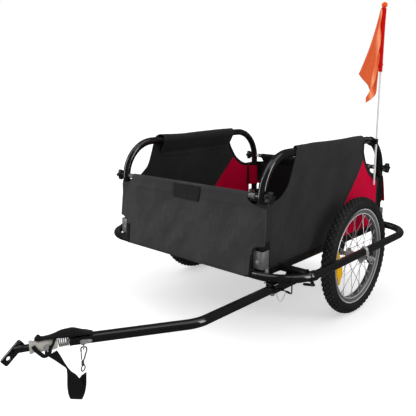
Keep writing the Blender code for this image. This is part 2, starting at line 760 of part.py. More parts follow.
def drawbar_bracket():
    """Upside-down channel under the beam that holds the drawbar's rear end."""
    x = DRAWBAR_X
    top = BEAM_Z - TUBE_R - GAP
    bracket = box("drawbar_bracket", (x - 0.0161, -0.448, 0.1925), (x + 0.0161, -0.342, top))
    hollow = box("bracket_channel", (x - 0.0130, -0.47, 0.180),
                 (x + 0.0130, -0.32, DRAWBAR_Z + TUBE_R + GAP))
    pad = box("bracket_pad", (x - 0.010, OUTRIGGER_Y - 0.009, 0.216),
              (x + 0.010, OUTRIGGER_Y + 0.009, 0.2362 - OUTRIGGER_R - GAP))
    holes = [rod("bracket_bore_" + label, (x, y, 0.17), (x, y, 0.24), radius, 12)
             for y, radius, label in ((DRAWBAR_BOLT_Y, 0.0043, "bolt"),
                                      (DRAWBAR_PIN_Y, 0.0043, "pin"))]
    sink = rod("bracket_countersink", (x, DRAWBAR_BOLT_Y, top - 0.0034),
               (x, DRAWBAR_BOLT_Y, top + 0.0004), 0.0043, 14, 0.0079)
    cut(join(cut(bracket, hollow), pad), *holes, sink)
    return show(bracket, BLACK_PAINT)


def drawbar():
    x = DRAWBAR_X
    z = DRAWBAR_Z
    route = rounded([(x, DRAWBAR_REAR_Y, z), (x, DRAWBAR_BEND_Y, z), DRAWBAR_TIP], 0.10, 7)
    bar = tube("drawbar", route, TUBE_R)
    start = DRAWBAR_TIP - HITCH_DIRECTION * 0.006
    neck = rod("drawbar_neck", start, DRAWBAR_TIP + HITCH_DIRECTION * 0.0090, 0.0045)
    join(bar, neck)
    for y, label in ((DRAWBAR_BOLT_Y, "bolt"), (DRAWBAR_PIN_Y, "pin")):
        cut(bar, rod("drawbar_bore_" + label, (x, y, z - 0.02), (x, y, z + 0.02), 0.0043, 12))
    return show(bar, BLACK_PAINT)


def drawbar_bolt():
    x, y = DRAWBAR_X, DRAWBAR_BOLT_Y
    top = BEAM_Z - TUBE_R - GAP
    low = DRAWBAR_Z - TUBE_R
    bolt = rod("drawbar_bolt", (x, y, low - 0.009), (x, y, top - 0.002), 0.0040)
    head = rod("drawbar_bolt_head", (x, y, top - 0.0030), (x, y, top), 0.0040, 14, 0.0070)
    nut = rod("drawbar_bolt_nut", (x, y, low - 0.0068), (x, y, low - GAP), 0.0072, 6)
    return show(join(bolt, head, nut), ZINC)


def drawbar_pin():
    """Lock pin pushed up through the drawbar, with a gripped wire that clips up the beam."""
    x, y = DRAWBAR_X, DRAWBAR_PIN_Y
    axis = empty("drawbar_pin_axis", (x, y, DRAWBAR_Z), AXLE_FRAME)
    start = Vector((x, y, 0.1830))
    far = Vector((0.3975, -0.4205, 0.1945))
    tip = Vector((0.3975, -0.4205, 0.2450))
    pin = rod("drawbar_pin", (x, y, 0.1805), (x, y, 0.2290), 0.0040)
    wire = tube("drawbar_pin_wire", rounded([start, far, tip], 0.006, steps=4), 0.0016, 8)
    grip = rod("drawbar_pin_grip", start.lerp(far, 0.42), start.lerp(far, 0.84), 0.0032, 10)
    return show(join(pin, wire, grip), BLACK_PAINT, axis)


def pin_lanyard():
    """Thin wire that ties the drawbar pin to its bracket and hangs in a loop between."""
    start = Vector((0.3270, -0.400, 0.1890))
    end = Vector((0.3660, -0.4060, 0.1838))
    dip = Vector((0.3480, -0.4080, 0.1250))
    route = [Vector(place) for place in quadratic(start, dip, end, 24)]
    return show(tube("pin_lanyard", route, 0.0008, 8), ZINC)


def hitch_point(s, z=DRAWBAR_Z):
    place = DRAWBAR_TIP + HITCH_DIRECTION * s
    return Vector((place.x, place.y, z))


def hitch_turned(name, profile, steps=16):
    """Turned hitch piece: profile of (radius, distance past the tube end)."""
    outline = [(radius, s) for radius, s in reversed(profile)]
    return turned(name, outline, DRAWBAR_TIP, HITCH_DIRECTION, steps)


def hitch_spring(axis):
    """Open coil between tube and coupling, with both ends running on straight."""
    lead = 2 * SPRING_WIRE_R
    start = SPRING_START + SPRING_WIRE_R
    pitch = (SPRING_END - SPRING_WIRE_R - start) / SPRING_TURNS
    route = []
    for step in range(10 * SPRING_TURNS + 1):
        angle = math.tau * step / 10
        centre = hitch_point(start + pitch * step / 10)
        turn = ACROSS * math.cos(angle) + Vector((0, 0, math.sin(angle)))
        route.append(centre + turn * SPRING_R)
    route.insert(0, route[0] - Vector((0, 0, lead)))
    route.append(route[-1] + Vector((0, 0, lead)))
    least = pitch - 2 * SPRING_WIRE_R
    print("hitch_spring least gap between curls: %.2f mm" % (least * 1000))
    return show(tube("hitch_spring", route, SPRING_WIRE_R, 6), ZINC, axis)


def coupling(axis):
    """Nylon block with a bore for the hitch rod and a flange at its front."""
    start = PITCH_S + 0.0010
    end = COUPLING_END
    block = hitch_turned("coupling", [(0.0, start), (0.0118, start), (0.0138, start + 0.010),
                                      (0.0138, end - 0.011), (0.0128, end - 0.0105),
                                      (0.0128, end - 0.007), (0.0146, end - 0.0065),
                                      (0.0146, end), (0.0, end)], 20)
    bore = rod("coupling_bore", hitch_point(ROD_START - 0.001), hitch_point(end + 0.01),
               ROD_R + 0.0004, 16)
    hole = rod("coupling_bolt_hole", hitch_point(COUPLING_BOLT_S) - ACROSS * 0.02,
               hitch_point(COUPLING_BOLT_S) + ACROSS * 0.02, 0.0028, 10)
    return show(cut(block, bore, hole), CREAM, axis)


def coupling_bolt(axis):
    """Cross bolt of the coupling, with its hexagon head on the left."""
    centre = hitch_point(COUPLING_BOLT_S)
    face = 0.0139
    bolt = rod("coupling_bolt", centre - ACROSS * (face + 0.001),
               centre + ACROSS * (face + 0.004), 0.0025, 10)
    head = rod("coupling_bolt_head", centre - ACROSS * (face + 0.0034),
               centre - ACROSS * face, 0.0048, 6)
    nut = rod("coupling_bolt_nut", centre + ACROSS * face,
              centre + ACROSS * (face + 0.0033), 0.0048, 6)
    return show(join(bolt, head, nut), ZINC, axis)


def hitch_bar(axis):
    """Rod that turns in the coupling, welded to the drilled plate for the wheel axle."""
    spindle = rod("hitch_bar", hitch_point(ROD_START), hitch_point(ROD_END), ROD_R, 16)
    top = Vector((0, -1.0745, 0.2110))
    foot = Vector((0, -1.1215, 0.1765))
    up = (top - foot).normalized()
    length = (top - foot).length
    half = 0.0105
    corner = 0.004
    outline = [(-half, corner), (-half + corner, 0), (half - corner, 0), (half, corner),
               (half, length - corner), (half - corner, length), (-half + corner, length),
               (-half, length - corner)]
    across = up.cross(Vector((1, 0, 0)))
    plate = flat("hitch_plate", outline, 2 * PLATE_HALF_THICK, across, up,
                 (PLATE_X, foot.y, foot.z))
    hole_at = foot + up * 0.0150
    hole = rod("axle_eye", (0.12, hole_at.y, hole_at.z), (0.16, hole_at.y, hole_at.z), 0.005, 14)
    trim = box("spindle_trim", (0.10, -1.16, 0.15),
               (PLATE_X - PLATE_HALF_THICK, -1.0, 0.25))
    return show(cut(join(cut(spindle, trim), plate), hole), BLACK_PAINT, axis)


def strap_band():
    """Folded webbing that lies over the tube end and the coupling."""
    rows = [(-0.050, 0.2162, 0.011), (-0.036, 0.2185, 0.016), (-0.018, 0.2235, 0.017),
            (0.000, 0.2250, 0.017), (0.018, 0.2225, 0.015), (0.038, 0.2188, 0.012),
            (0.060, 0.2180, 0.010), (0.078, 0.2195, 0.009)]
    sections = []
    for s, z, half in rows:
        if s < 0:
            tail = (DRAWBAR_TIP - Vector((DRAWBAR_X, DRAWBAR_BEND_Y, DRAWBAR_Z))).normalized()
            centre = DRAWBAR_TIP + tail * s
        else:
            centre = hitch_point(s)
        centre.z = z
        sections.append([centre + ACROSS * half * part for part in (-1, -0.5, 0, 0.5, 1)])
    return show(webbing("strap_band", sections, 0.0036), WEBBING)


def webbing(name, sections, thickness):
    """Ribbon through cross rows of points, given its thickness by Solidify."""
    shape = bmesh.new()
    rows = [[shape.verts.new(place) for place in section] for section in sections]
    for first, second in zip(rows, rows[1:]):
        for index in range(len(first) - 1):
            shape.faces.new((first[index], first[index + 1], second[index + 1], second[index]))
    made = mesh_object(name, shape)
    wall = made.modifiers.new("thickness", 'SOLIDIFY')
    wall.thickness = thickness
    wall.offset = 0.0
    wall.use_even_offset = True
    return made


def smooth_rows(rows, steps):
    """Even curve through the rows, a few steps between each pair."""
    result = []
    for index in range(len(rows) - 1):
        before = rows[max(index - 1, 0)]
        first = rows[index]
        second = rows[index + 1]
        after = rows[min(index + 2, len(rows) - 1)]
        for step in range(steps):
            t = step / steps
            result.append([0.5 * (2 * b + (c - a) * t + (2 * a - 5 * b + 4 * c - d) * t * t
                                  + (3 * b - a - 3 * c + d) * t ** 3)
                           for a, b, c, d in zip(before, first, second, after)])
    result.append(list(rows[-1]))
    return result


def strap_loop():
    """Webbing that hangs from the coupling, turns and comes up to the snap hook.

    Each row is its left edge (across, height), its right edge and its depth.
    """
    rows = [(-0.0596, 0.1737, -0.0376, 0.1868, -0.0260), (-0.0441, 0.1621, -0.0311, 0.1741, -0.0250),
            (-0.0308, 0.1505, -0.0246, 0.1590, -0.0240), (-0.0216, 0.1415, -0.0178, 0.1446, -0.0225),
            (-0.0203, 0.1327, -0.0104, 0.1331, -0.0215), (-0.0204, 0.1223, 0.0010, 0.1233, -0.0210),
            (-0.0214, 0.1074, 0.0101, 0.1071, -0.0210), (-0.0219, 0.0924, 0.0181, 0.0896, -0.0210),
            (-0.0208, 0.0755, 0.0150, 0.0739, -0.0205), (-0.0180, 0.0603, 0.0080, 0.0591, -0.0160),
            (-0.0229, 0.0731, 0.0140, 0.0715, -0.0115), (-0.0231, 0.0819, 0.0184, 0.0916, -0.0105),
            (-0.0085, 0.0969, 0.0199, 0.1092, -0.0110), (0.0014, 0.1071, 0.0208, 0.1200, -0.0118),
            (0.0100, 0.1180, 0.0211, 0.1262, -0.0124)]
    sections = []
    for left, low, right, high, depth in smooth_rows(rows, 2):
        base = STRAP_BASE + STRAP_F * depth
        first = base + STRAP_W * left + Vector((0, 0, low))
        last = base + STRAP_W * right + Vector((0, 0, high))
        sections.append([first, (first + last) / 2, last])
    return show(webbing("strap_loop", sections, 0.0022), WEBBING)


HOOK_HALF = 0.0062
HOOK_LOW = -0.0320
HOOK_TIP = -0.0120
HOOK_WIRE_R = 0.0016
GATE_GAP = 0.0010
EYE_SIDE = Vector((0.856, -0.517, 0.0))
EYE_TUBE = Vector((0.2064, -0.9655, DRAWBAR_Z))
EYE_CENTRE = EYE_TUBE + EYE_SIDE * 0.0135 - Vector((0, 0, 0.0150))


def ring(name, centre, normal, major, minor, major_steps=16, minor_steps=6):
    first = Vector(normal).orthogonal().normalized()
    second = Vector(normal).normalized().cross(first)
    route = [Vector(centre) + (first * math.cos(math.tau * step / major_steps)
                               + second * math.sin(math.tau * step / major_steps)) * major
             for step in range(major_steps)]
    return tube(name, route, minor, minor_steps, closed=True)


def tube_eye():
    """Band round the drawbar with an eye for the snap hook."""
    tail = (Vector((DRAWBAR_X, DRAWBAR_BEND_Y, DRAWBAR_Z)) - DRAWBAR_TIP).normalized()
    band, bore = sleeve("tube_eye", EYE_TUBE - tail * 0.006, EYE_TUBE + tail * 0.006,
                        0.0145, 0.0128, 20)
    cut(band, bore)
    eye = ring("eye_ring", EYE_CENTRE, tail, 0.0048, 0.0014)
    return show(join(band, eye), ZINC)


def snap_hook(axis):
    """Wire hook that hangs in the eye, with a swivel ring for the strap at its foot."""
    side = EYE_SIDE.cross(Vector((0, 0, 1)))
    top = EYE_CENTRE
    high = Vector((0, 0, 0.0012))
    low = Vector((0, 0, HOOK_LOW))
    edge = side * HOOK_HALF
    corners = [top + edge + Vector((0, 0, HOOK_TIP)), top + edge + high, top - edge + high,
               top - edge + low, top + edge + low]
    hook = tube("snap_hook", rounded(corners, 0.0045, 4), HOOK_WIRE_R, 8)
    stem = rod("hook_stem", top + low, top + Vector((0, 0, -0.0440)), 0.0032, 10)
    lower = top + Vector((0, 0, -0.0500))
    eye = ring("hook_ring", lower, side.cross(Vector((0, 0, 1))), 0.0070, 0.0014)
    return show(join(hook, stem, eye), ZINC, axis)


def snap_gate(axis_name, hook_axis):
    """Sprung finger that closes the hook's open side."""
    side = EYE_SIDE.cross(Vector((0, 0, 1)))
    top = EYE_CENTRE + side * HOOK_HALF
    foot = top + Vector((0, 0, HOOK_LOW + HOOK_WIRE_R + GATE_GAP))
    axis = empty(axis_name, foot, hook_axis)
    gate = rod("snap_gate", foot, top + Vector((0, 0, HOOK_TIP - 0.0005)), 0.0013, 8)
    return show(gate, ZINC, axis)


def flag_pole(axis):
    pole = rod("flag_pole", (POLE_X, POLE_Y, POLE_LOW_Z), (POLE_X, POLE_Y, POLE_TOP_Z), POLE_R)
    return show(pole, WHITE_ROD, axis)


def flag_ball(axis):
    shape = bmesh.new()
    bmesh.ops.create_uvsphere(shape, u_segments=14, v_segments=8, radius=BALL_R)
    bmesh.ops.translate(shape, vec=(POLE_X, POLE_Y, POLE_TOP_Z + BALL_R + GAP),
                        verts=shape.verts)
    return show(mesh_object("flag_ball", shape), ORANGE, axis)


def flag(axis):
    """Pennant that hangs from its pole in a fan of soft pleats.

    The three edges run from the pole outwards as (y, z): along the flag's top, down its
    middle pleat, and along its foot to the tip of the tail. The last column is the depth
    of the pleat there.
    """
    top = [(0.2140, 1.0030), (0.1839, 0.9972), (0.1640, 0.9720), (0.1390, 0.9280),
           (0.1110, 0.8750), (0.0850, 0.8290), (0.0616, 0.7862)]
    middle = [(0.2130, 0.9000), (0.1980, 0.8850), (0.1850, 0.8600), (0.1700, 0.8300),
              (0.1580, 0.8000), (0.1470, 0.7750), (0.1361, 0.7512)]
    foot = [(0.2120, 0.8000), (0.2000, 0.7970), (0.1850, 0.7800), (0.1800, 0.7500),
            (0.1800, 0.7230), (0.1489, 0.7081), (0.1066, 0.6991)]
    rows_per_half = 6
    shape = bmesh.new()
    grid = []
    for row in range(2 * rows_per_half + 1):
        part = row / rows_per_half
        first, second = (top, middle) if part <= 1 else (middle, foot)
        share = part if part <= 1 else part - 1
        edge = [(a[0] + (b[0] - a[0]) * share, a[1] + (b[1] - a[1]) * share)
                for a, b in zip(first, second)]
        line = []
        for column, (y, z) in enumerate(smooth_rows(edge, 2)):
            out = column / (2 * len(edge) - 2)
            pleat = FLAG_PLEAT * out * math.sin(math.pi * part)
            line.append(shape.verts.new((POLE_X + POLE_R + 0.0016 + pleat, y, z)))
        grid.append(line)
    for first, second in zip(grid, grid[1:]):
        for index in range(len(first) - 1):
            shape.faces.new((first[index], first[index + 1], second[index + 1], second[index]))
    made = mesh_object("flag", shape)
    wall = made.modifiers.new("thickness", 'SOLIDIFY')
    wall.thickness = 0.0014
    wall.offset = 0.0
    return show(made, ORANGE, axis)


def pole_clip(fold):
    """Plastic clip that grips the hoop's rear bend and carries the flag pole."""
    centre_y = HOOP_REAR_Y - HOOP_CORNER_R
    centre_z = HOOP_TOP_Z - HOOP_CORNER_R
    rise = math.sqrt(HOOP_CORNER_R ** 2 - (POLE_Y - centre_y) ** 2)
    place = Vector((HOOP_X, POLE_Y, centre_z + rise))
    tangent = Vector((0, rise, centre_y - POLE_Y)).normalized()
    band, band_bore = sleeve("pole_clip", place - tangent * 0.006, place + tangent * 0.006,
                             0.0158, 0.0133, 20)
    holder, bore = sleeve("pole_holder", (POLE_X, POLE_Y, place.z - 0.009),
                          (POLE_X, POLE_Y, place.z + 0.009), 0.0066, POLE_R + 0.0004, 14)
    cut(join(band, holder), band_bore, bore)
    return show(band, KNOB_PLASTIC, fold)


def build():
    folds = {}
    for side, label in ((1, "left"), (-1, "right")):
        folds[label] = empty("fold_axis_" + label, (side * HOOP_X, 0, FOLD_Z), AXLE_FRAME)
    front_gate = empty("front_gate_axis", (0, FRONT_PANEL_LOW_Y - 0.0015, PANEL_LOW_Z),
                       AXLE_FRAME)
    rear_gate = empty("rear_gate_axis", (0, REAR_PANEL_LOW_Y + 0.0015, PANEL_LOW_Z), AXLE_FRAME)
    front_beam()
    wheel_guard()
    floor_crossbar()
    floor_panel()
    for side, label in ((1, "left"), (-1, "right")):
        side_rail(side, label)
        dropouts(side, label)
        axle(side, label)
        guard_pin(side, label)
        wheel(side, label, empty("wheel_axis_" + label, (side * WHEEL_X, 0, AXLE_Z), AXLE_FRAME))
        hoop(side, label, folds[label])
        side_panel(side, label, folds[label])
        for leg_y, end in ((HOOP_FRONT_Y, "front"), (HOOP_REAR_Y, "rear")):
            corner = end + "_" + label
            leg_bracket(side, leg_y, corner)
            fold_bolt(side, leg_y, corner)
            knob(side, leg_y, corner, folds[label])
    cross_bar(HOOP_FRONT_Y, "front", front_gate)
    cross_bar(HOOP_REAR_Y, "rear", rear_gate)
    end_panels(front_gate, rear_gate)
    drawbar_bracket()
    drawbar()
    drawbar_bolt()
    drawbar_pin()
    pin_lanyard()
    yaw = empty("hitch_yaw_axis", hitch_point(YAW_S), AXLE_FRAME)
    pitch = empty("hitch_pitch_axis", hitch_point(PITCH_S), yaw)
    roll = empty("hitch_roll_axis", hitch_point(ROD_START), pitch)
    hitch_spring(yaw)
    coupling(pitch)
    coupling_bolt(pitch)
    hitch_bar(roll)
    strap_band()
    strap_loop()
    tube_eye()
    swing = empty("snap_hook_axis", EYE_CENTRE, AXLE_FRAME)
    snap_hook(swing)
    snap_gate("snap_gate_axis", swing)
    lift = empty("flag_slide_axis", (POLE_X, POLE_Y, POLE_LOW_Z), folds["left"])
    flag_pole(lift)
    flag_ball(lift)
    flag(lift)
    pole_clip(folds["left"])


build()
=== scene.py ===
"""Looks of a two-wheeled bicycle cargo trailer with folding hoops, fabric box and flag.

Every piece is modelled in the trailer's axle frame: +X is its left side, -Y is forward,
z is the height above the ground and y is measured from the wheel axle. seat() then moves
the finished mesh to the axle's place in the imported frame.
"""

from functools import partial
from math import copysign, cos, pi, radians, sin, sqrt, tan, tau

import bmesh
import bpy
from mathutils import Matrix, Vector, noise


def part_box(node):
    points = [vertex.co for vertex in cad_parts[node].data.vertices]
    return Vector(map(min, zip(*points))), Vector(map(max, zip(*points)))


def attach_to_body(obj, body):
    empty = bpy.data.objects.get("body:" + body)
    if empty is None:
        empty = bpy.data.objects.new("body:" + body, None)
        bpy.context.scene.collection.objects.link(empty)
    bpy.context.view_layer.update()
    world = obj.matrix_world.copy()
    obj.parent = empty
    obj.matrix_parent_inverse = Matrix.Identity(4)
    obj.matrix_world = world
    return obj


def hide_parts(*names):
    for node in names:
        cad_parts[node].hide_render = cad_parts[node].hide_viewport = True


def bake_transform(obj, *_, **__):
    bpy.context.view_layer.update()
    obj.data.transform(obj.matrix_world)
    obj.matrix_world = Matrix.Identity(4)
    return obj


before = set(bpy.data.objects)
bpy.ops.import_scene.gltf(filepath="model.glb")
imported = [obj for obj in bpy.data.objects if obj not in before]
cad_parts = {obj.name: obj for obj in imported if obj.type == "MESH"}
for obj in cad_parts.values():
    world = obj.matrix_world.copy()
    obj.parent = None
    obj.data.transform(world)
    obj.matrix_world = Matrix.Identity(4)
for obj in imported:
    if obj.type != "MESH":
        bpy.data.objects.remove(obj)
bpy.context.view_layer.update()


def middle(node):
    """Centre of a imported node's box."""
    low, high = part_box(node)
    return (low + high) / 2


AXLE = Vector((0, middle("axle_left").y, 0))
AXLE_Z = middle("axle_left").z
WHEEL_X = middle("tyre_left").x
SIDES = ((1, "left"), (-1, "right"))
UP = Vector((0, 0, 1))
LEFT = Vector((1, 0, 0))
BACK = Vector((0, 1, 0))

# Frame loop, rails and hoops
TUBE_R = 0.0125
BEAM_Z = 0.231
BEAM_Y = -0.444
GUARD_X = 0.418
GUARD_REAR_Y = 0.327
LOOP_R = 0.120
RAIL_X = 0.2965
RAIL_Z = 0.235
RAIL_HALF = 0.0125
OUTRIGGER_Y = -0.352
OUTRIGGER_Z = 0.2362
OUTRIGGER_R = 0.011
HOOP_X = 0.294
HOOP_FRONT_Y = -0.426
HOOP_REAR_Y = 0.296
ENDS = ((HOOP_FRONT_Y, "front"), (HOOP_REAR_Y, "rear"))
HOOP_TOP_Z = 0.563
HOOP_CORNER_R = 0.120
FOLD_Z = 0.268
LEG_END_Z = 0.260
BAR_Z = 0.453
BAR_R = 0.008
BAR_HALF = 0.274
FLOOR_Z = 0.233

# Drawbar and hitch
DRAWBAR_X = 0.345
DRAWBAR_Z = 0.2015
DRAWBAR_TIP = Vector((0.192, -0.989, DRAWBAR_Z))
DRAWBAR_BEND = Vector((DRAWBAR_X, -0.736, DRAWBAR_Z))
HITCH = Vector((-0.417, -0.909, 0.0)).normalized()
ACROSS = HITCH.cross(UP)


# Shaping

def scene_object(name, data):
    """New object for some data, in the scene."""
    made = bpy.data.objects.new(name, data)
    bpy.context.scene.collection.objects.link(made)
    return made


def mesh_piece(name, shape, crisp=35):
    """New mesh object from a shape, smooth but for edges sharper than crisp degrees."""
    data = bpy.data.meshes.new(name)
    shape.to_mesh(data)
    shape.free()
    data.shade_smooth()
    data.set_sharp_from_angle(angle=radians(crisp))
    return scene_object(name, data)


def seat(name, shape, body, finish, *nodes, crisp=35, turn_out=True):
    """Put a shape in its place in the frame, with its finish, its body and what it replaces."""
    if turn_out:
        bmesh.ops.recalc_face_normals(shape, faces=shape.faces)
    bmesh.ops.translate(shape, vec=AXLE, verts=shape.verts)
    made = mesh_piece(name, shape, crisp)
    made.data.materials.append(finish[0])
    if nodes:
        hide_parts(*nodes)
    if body:
        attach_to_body(made, body)
    return made


def replace(name, shape, body, finish, **more):
    """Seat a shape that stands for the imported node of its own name."""
    return seat(name, shape, body, finish, name, **more)


def bend(piece, first, second, start, end):
    """Bake a piece's place into its mesh; its bodies, start and end (axle frame) are not used."""
    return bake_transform(piece, first, second, start=Vector(start) + AXLE, end=Vector(end) + AXLE)


def gather(*shapes):
    """Several shapes as one."""
    whole = shapes[0]
    for shape in shapes[1:]:
        carrier = bpy.data.meshes.new("carrier")
        shape.to_mesh(carrier)
        shape.free()
        whole.from_mesh(carrier)
        bpy.data.meshes.remove(carrier)
    return whole


def soften(shape, width, segments=2, angle=40):
    """Round every edge sharper than angle degrees by a width."""
    sharp = [edge for edge in shape.edges
             if edge.is_manifold and edge.calc_face_angle(0) > radians(angle)]
    bmesh.ops.bevel(shape, geom=sharp, offset=width, segments=segments, affect='EDGES',
                    profile=0.5, material=-1, clamp_overlap=True)
    return shape


def placed(shape, matrix):
    """The shape, moved by a matrix."""
    bmesh.ops.transform(shape, matrix=matrix, verts=shape.verts)
    return shape


def aim(axis, centre):
    """Matrix that carries Z to an axis and the origin to a centre."""
    turn = Vector(axis).to_track_quat('Z', 'Y').to_matrix().to_4x4()
    return Matrix.Translation(centre) @ turn


def block(corner, far_corner, width=0.0, segments=2):
    """Box between two opposite corners, with its edges rounded by a width."""
    low = Vector(map(min, corner, far_corner))
    high = Vector(map(max, corner, far_corner))
    shape = bmesh.new()
    bmesh.ops.create_cube(shape, size=1.0)
    bmesh.ops.scale(shape, vec=high - low, verts=shape.verts)
    bmesh.ops.translate(shape, vec=(low + high) / 2, verts=shape.verts)
    return soften(shape, width, segments) if width else shape


def bar(start, end, radius, sides, width=0.0, end_radius=None):
    """Round bar between two points, with its rims rounded by width."""
    start, end = Vector(start), Vector(end)
    shape = bmesh.new()
    bmesh.ops.create_cone(shape, cap_ends=True, segments=sides, radius1=radius,
                          radius2=radius if end_radius is None else end_radius,
                          depth=(end - start).length)
    if width:
        soften(shape, width, 2, 60)
    return placed(shape, aim(end - start, (start + end) / 2))


def hexagon(start, end, radius):
    """Hexagon head or nut with chamfered corners."""
    length = (Vector(end) - Vector(start)).length
    shape = bar((0, 0, 0), (0, 0, length), radius, 6)
    cone = bar((0, 0, -length), (0, 0, length * 1.02), radius * 1.75, 36, 0.0, radius * 0.86)
    return placed(solve(shape, [cone], 'INTERSECT'), aim(Vector(end) - Vector(start), start))


def solve(shape, tools, operation):
    """Exact Boolean of a shape with one tool after another, as a new shape."""
    base = mesh_piece("base", shape)
    for tool in tools:
        cutter = mesh_piece("tool", tool)
        step = base.modifiers.new("solve", 'BOOLEAN')
        step.operation = operation
        step.solver = 'EXACT'
        step.object = cutter
        bpy.context.view_layer.update()
        view = bpy.context.evaluated_depsgraph_get()
        result = bpy.data.meshes.new_from_object(base.evaluated_get(view))
        base.modifiers.clear()
        base.data = result
        bpy.data.objects.remove(cutter, do_unlink=True)
    made = bmesh.new()
    made.from_mesh(base.data)
    bpy.data.objects.remove(base, do_unlink=True)
    return made


def carve(shape, *tools):
    """Shape with every tool cut out of it."""
    return solve(shape, tools, 'DIFFERENCE')


def turned(profile, centre=(0, 0, 0), axis=UP, steps=64, ring=False):
    """Turned shape from (radius, height) pairs along its axis; a ring's profile is closed."""
    shape = bmesh.new()
    points = [shape.verts.new((radius, 0, height)) for radius, height in profile]
    for first, second in zip(points, points[1:]):
        shape.edges.new((first, second))
    if ring:
        shape.edges.new((points[-1], points[0]))
    bmesh.ops.spin(shape, geom=shape.verts[:] + shape.edges[:], cent=(0, 0, 0), axis=(0, 0, 1),
                   dvec=(0, 0, 0), angle=tau, steps=steps, use_merge=True,
                   use_duplicate=False)
    bmesh.ops.remove_doubles(shape, verts=shape.verts, dist=0.000002)
    bmesh.ops.recalc_face_normals(shape, faces=shape.faces)
    return placed(shape, aim(axis, centre))


def frames_along(route, closed, side):
    """One matrix for each point of a route, square to it and twisted as little as can be."""
    count = len(route)
    result = []
    for index, place in enumerate(route):
        before = route[index - 1] if closed or index else place
        after = route[(index + 1) % count] if closed or index < count - 1 else place
        ahead = (after - before).normalized()
        side = ahead.orthogonal() if side is None else side
        side = (side - ahead * side.dot(ahead)).normalized()
        turn = Matrix((side, ahead.cross(side), ahead)).transposed().to_4x4()
        result.append(Matrix.Translation(place) @ turn)
    return result


def sweep(route, radius, sides, closed=False, side=None, squash=1.0):
    """Tube drawn along a route from a ring; radius may be one value or one for each point."""
    route = [Vector(place) for place in route]
    radii = list(radius) if isinstance(radius, (list, tuple)) else [radius] * len(route)
    shape = bmesh.new()
    bmesh.ops.create_circle(shape, cap_ends=False, radius=1.0, segments=sides)
    bmesh.ops.scale(shape, vec=(1, squash, 1), verts=shape.verts)
    rim = shape.edges[:]
    ring = rim
    held = Matrix.Identity(4)
    grown = shape.verts[:]
    for index, (place, reach) in enumerate(zip(frames_along(route, closed, side), radii)):
        if index:
            made = bmesh.ops.extrude_edge_only(shape, edges=ring)["geom"]
            grown = [part for part in made if isinstance(part, bmesh.types.BMVert)]
            ring = [part for part in made
                    if isinstance(part, bmesh.types.BMEdge) and part.is_boundary]
        spot = place @ Matrix.Diagonal((reach, reach, reach, 1))
        bmesh.ops.transform(shape, matrix=spot @ held.inverted(), verts=grown)
        held = spot
    if closed:
        bmesh.ops.bridge_loops(shape, edges=ring + rim)
    else:
        bmesh.ops.contextual_create(shape, geom=ring)
        bmesh.ops.contextual_create(shape, geom=rim)
    bmesh.ops.recalc_face_normals(shape, faces=shape.faces)
    return shape


def wire_shape(route, radius, sides):
    """Wire along a route, with both ends rounded off in four rings."""
    route = [Vector(place) for place in route]
    first = (route[0] - route[1]).normalized()
    last = (route[-1] - route[-2]).normalized()
    angles = [pi / 2 * step / 4 for step in range(1, 5)]
    ring = [max(cos(angle), 0.08) * radius for angle in angles]
    out = [sin(angle) * radius - radius for angle in angles]
    path = [route[0] + first * reach for reach in reversed(out)]
    path += [route[0] - first * radius] + route[1:-1] + [route[-1] - last * radius]
    path += [route[-1] + last * reach for reach in out]
    return sweep(path, ring[::-1] + [radius] * len(route) + ring, sides)


def rounded(corners, radius, steps, closed=False):
    """Route through the corners with an arc of the given radius at each bend."""
    corners = [Vector(corner) for corner in corners]
    count = len(corners)
    route = []
    for index, corner in enumerate(corners):
        if not closed and index in (0, count - 1):
            route.append(corner)
            continue
        back = (corners[index - 1] - corner).normalized()
        ahead = (corners[(index + 1) % count] - corner).normalized()
        half = back.angle(ahead) / 2
        centre = corner + (back + ahead).normalized() * radius / sin(half)
        first = corner + back * radius / tan(half) - centre
        last = corner + ahead * radius / tan(half) - centre
        angle = first.angle(last)
        for step in range(steps + 1):
            part = step / steps
            spoke = first * sin((1 - part) * angle) + last * sin(part * angle)
            route.append(centre + spoke / sin(angle))
    return route


def prism(outline, thickness):
    """Flat shape from an outline, its thickness shared between both sides of height 0."""
    shape = bmesh.new()
    face = shape.faces.new([shape.verts.new((x, y, -thickness / 2)) for x, y in outline])
    lifted = bmesh.ops.extrude_face_region(shape, geom=[face])["geom"]
    top = [part for part in lifted if isinstance(part, bmesh.types.BMVert)]
    bmesh.ops.translate(shape, vec=(0, 0, thickness), verts=top)
    bmesh.ops.recalc_face_normals(shape, faces=shape.faces)
    return shape


def plate(outline, thickness, across, up, centre, width, hole=None):
    """Flat plate from an (across, up) outline, with a round hole of (across, up, radius)."""
    shape = prism(outline, thickness)
    if hole:
        x, y, radius = hole
        shape = carve(shape, bar((x, y, -thickness), (x, y, thickness), radius, 32))
    turn = Matrix((across, up, across.cross(up))).transposed().to_4x4()
    return placed(soften(shape, width), Matrix.Translation(centre) @ turn)


def cloth(columns, width, run, lay):
    """Sheet whose lay(u, row) gives each vertex, u being its share of the width.

    run is how far along the cloth each row lies. Each vertex keeps its flat place on the
    cloth, in metres, for the weave.
    """
    rows = len(run) - 1
    shape = bmesh.new()
    flat = shape.verts.layers.float_vector.new("cloth")
    bmesh.ops.create_grid(shape, x_segments=columns, y_segments=rows, size=0.5)
    for vert in shape.verts:
        u = vert.co.x + 0.5
        row = round((vert.co.y + 0.5) * rows)
        vert[flat] = (u * width, run[row], 0.0)
        vert.co = lay(u, row)
    return shape


def thicken(piece, thickness):
    """Even thickness on both sides of a sheet."""
    wall = piece.modifiers.new("thickness", 'SOLIDIFY')
    wall.thickness = thickness
    wall.offset = 0.0
    wall.use_even_offset = True
    wall.thickness_clamp = 2.0


def lengths_along(route):
    """Distance from a route's start to each of its points."""
    run = [0.0]
    for first, second in zip(route, route[1:]):
        run.append(run[-1] + (second - first).length)
    return run


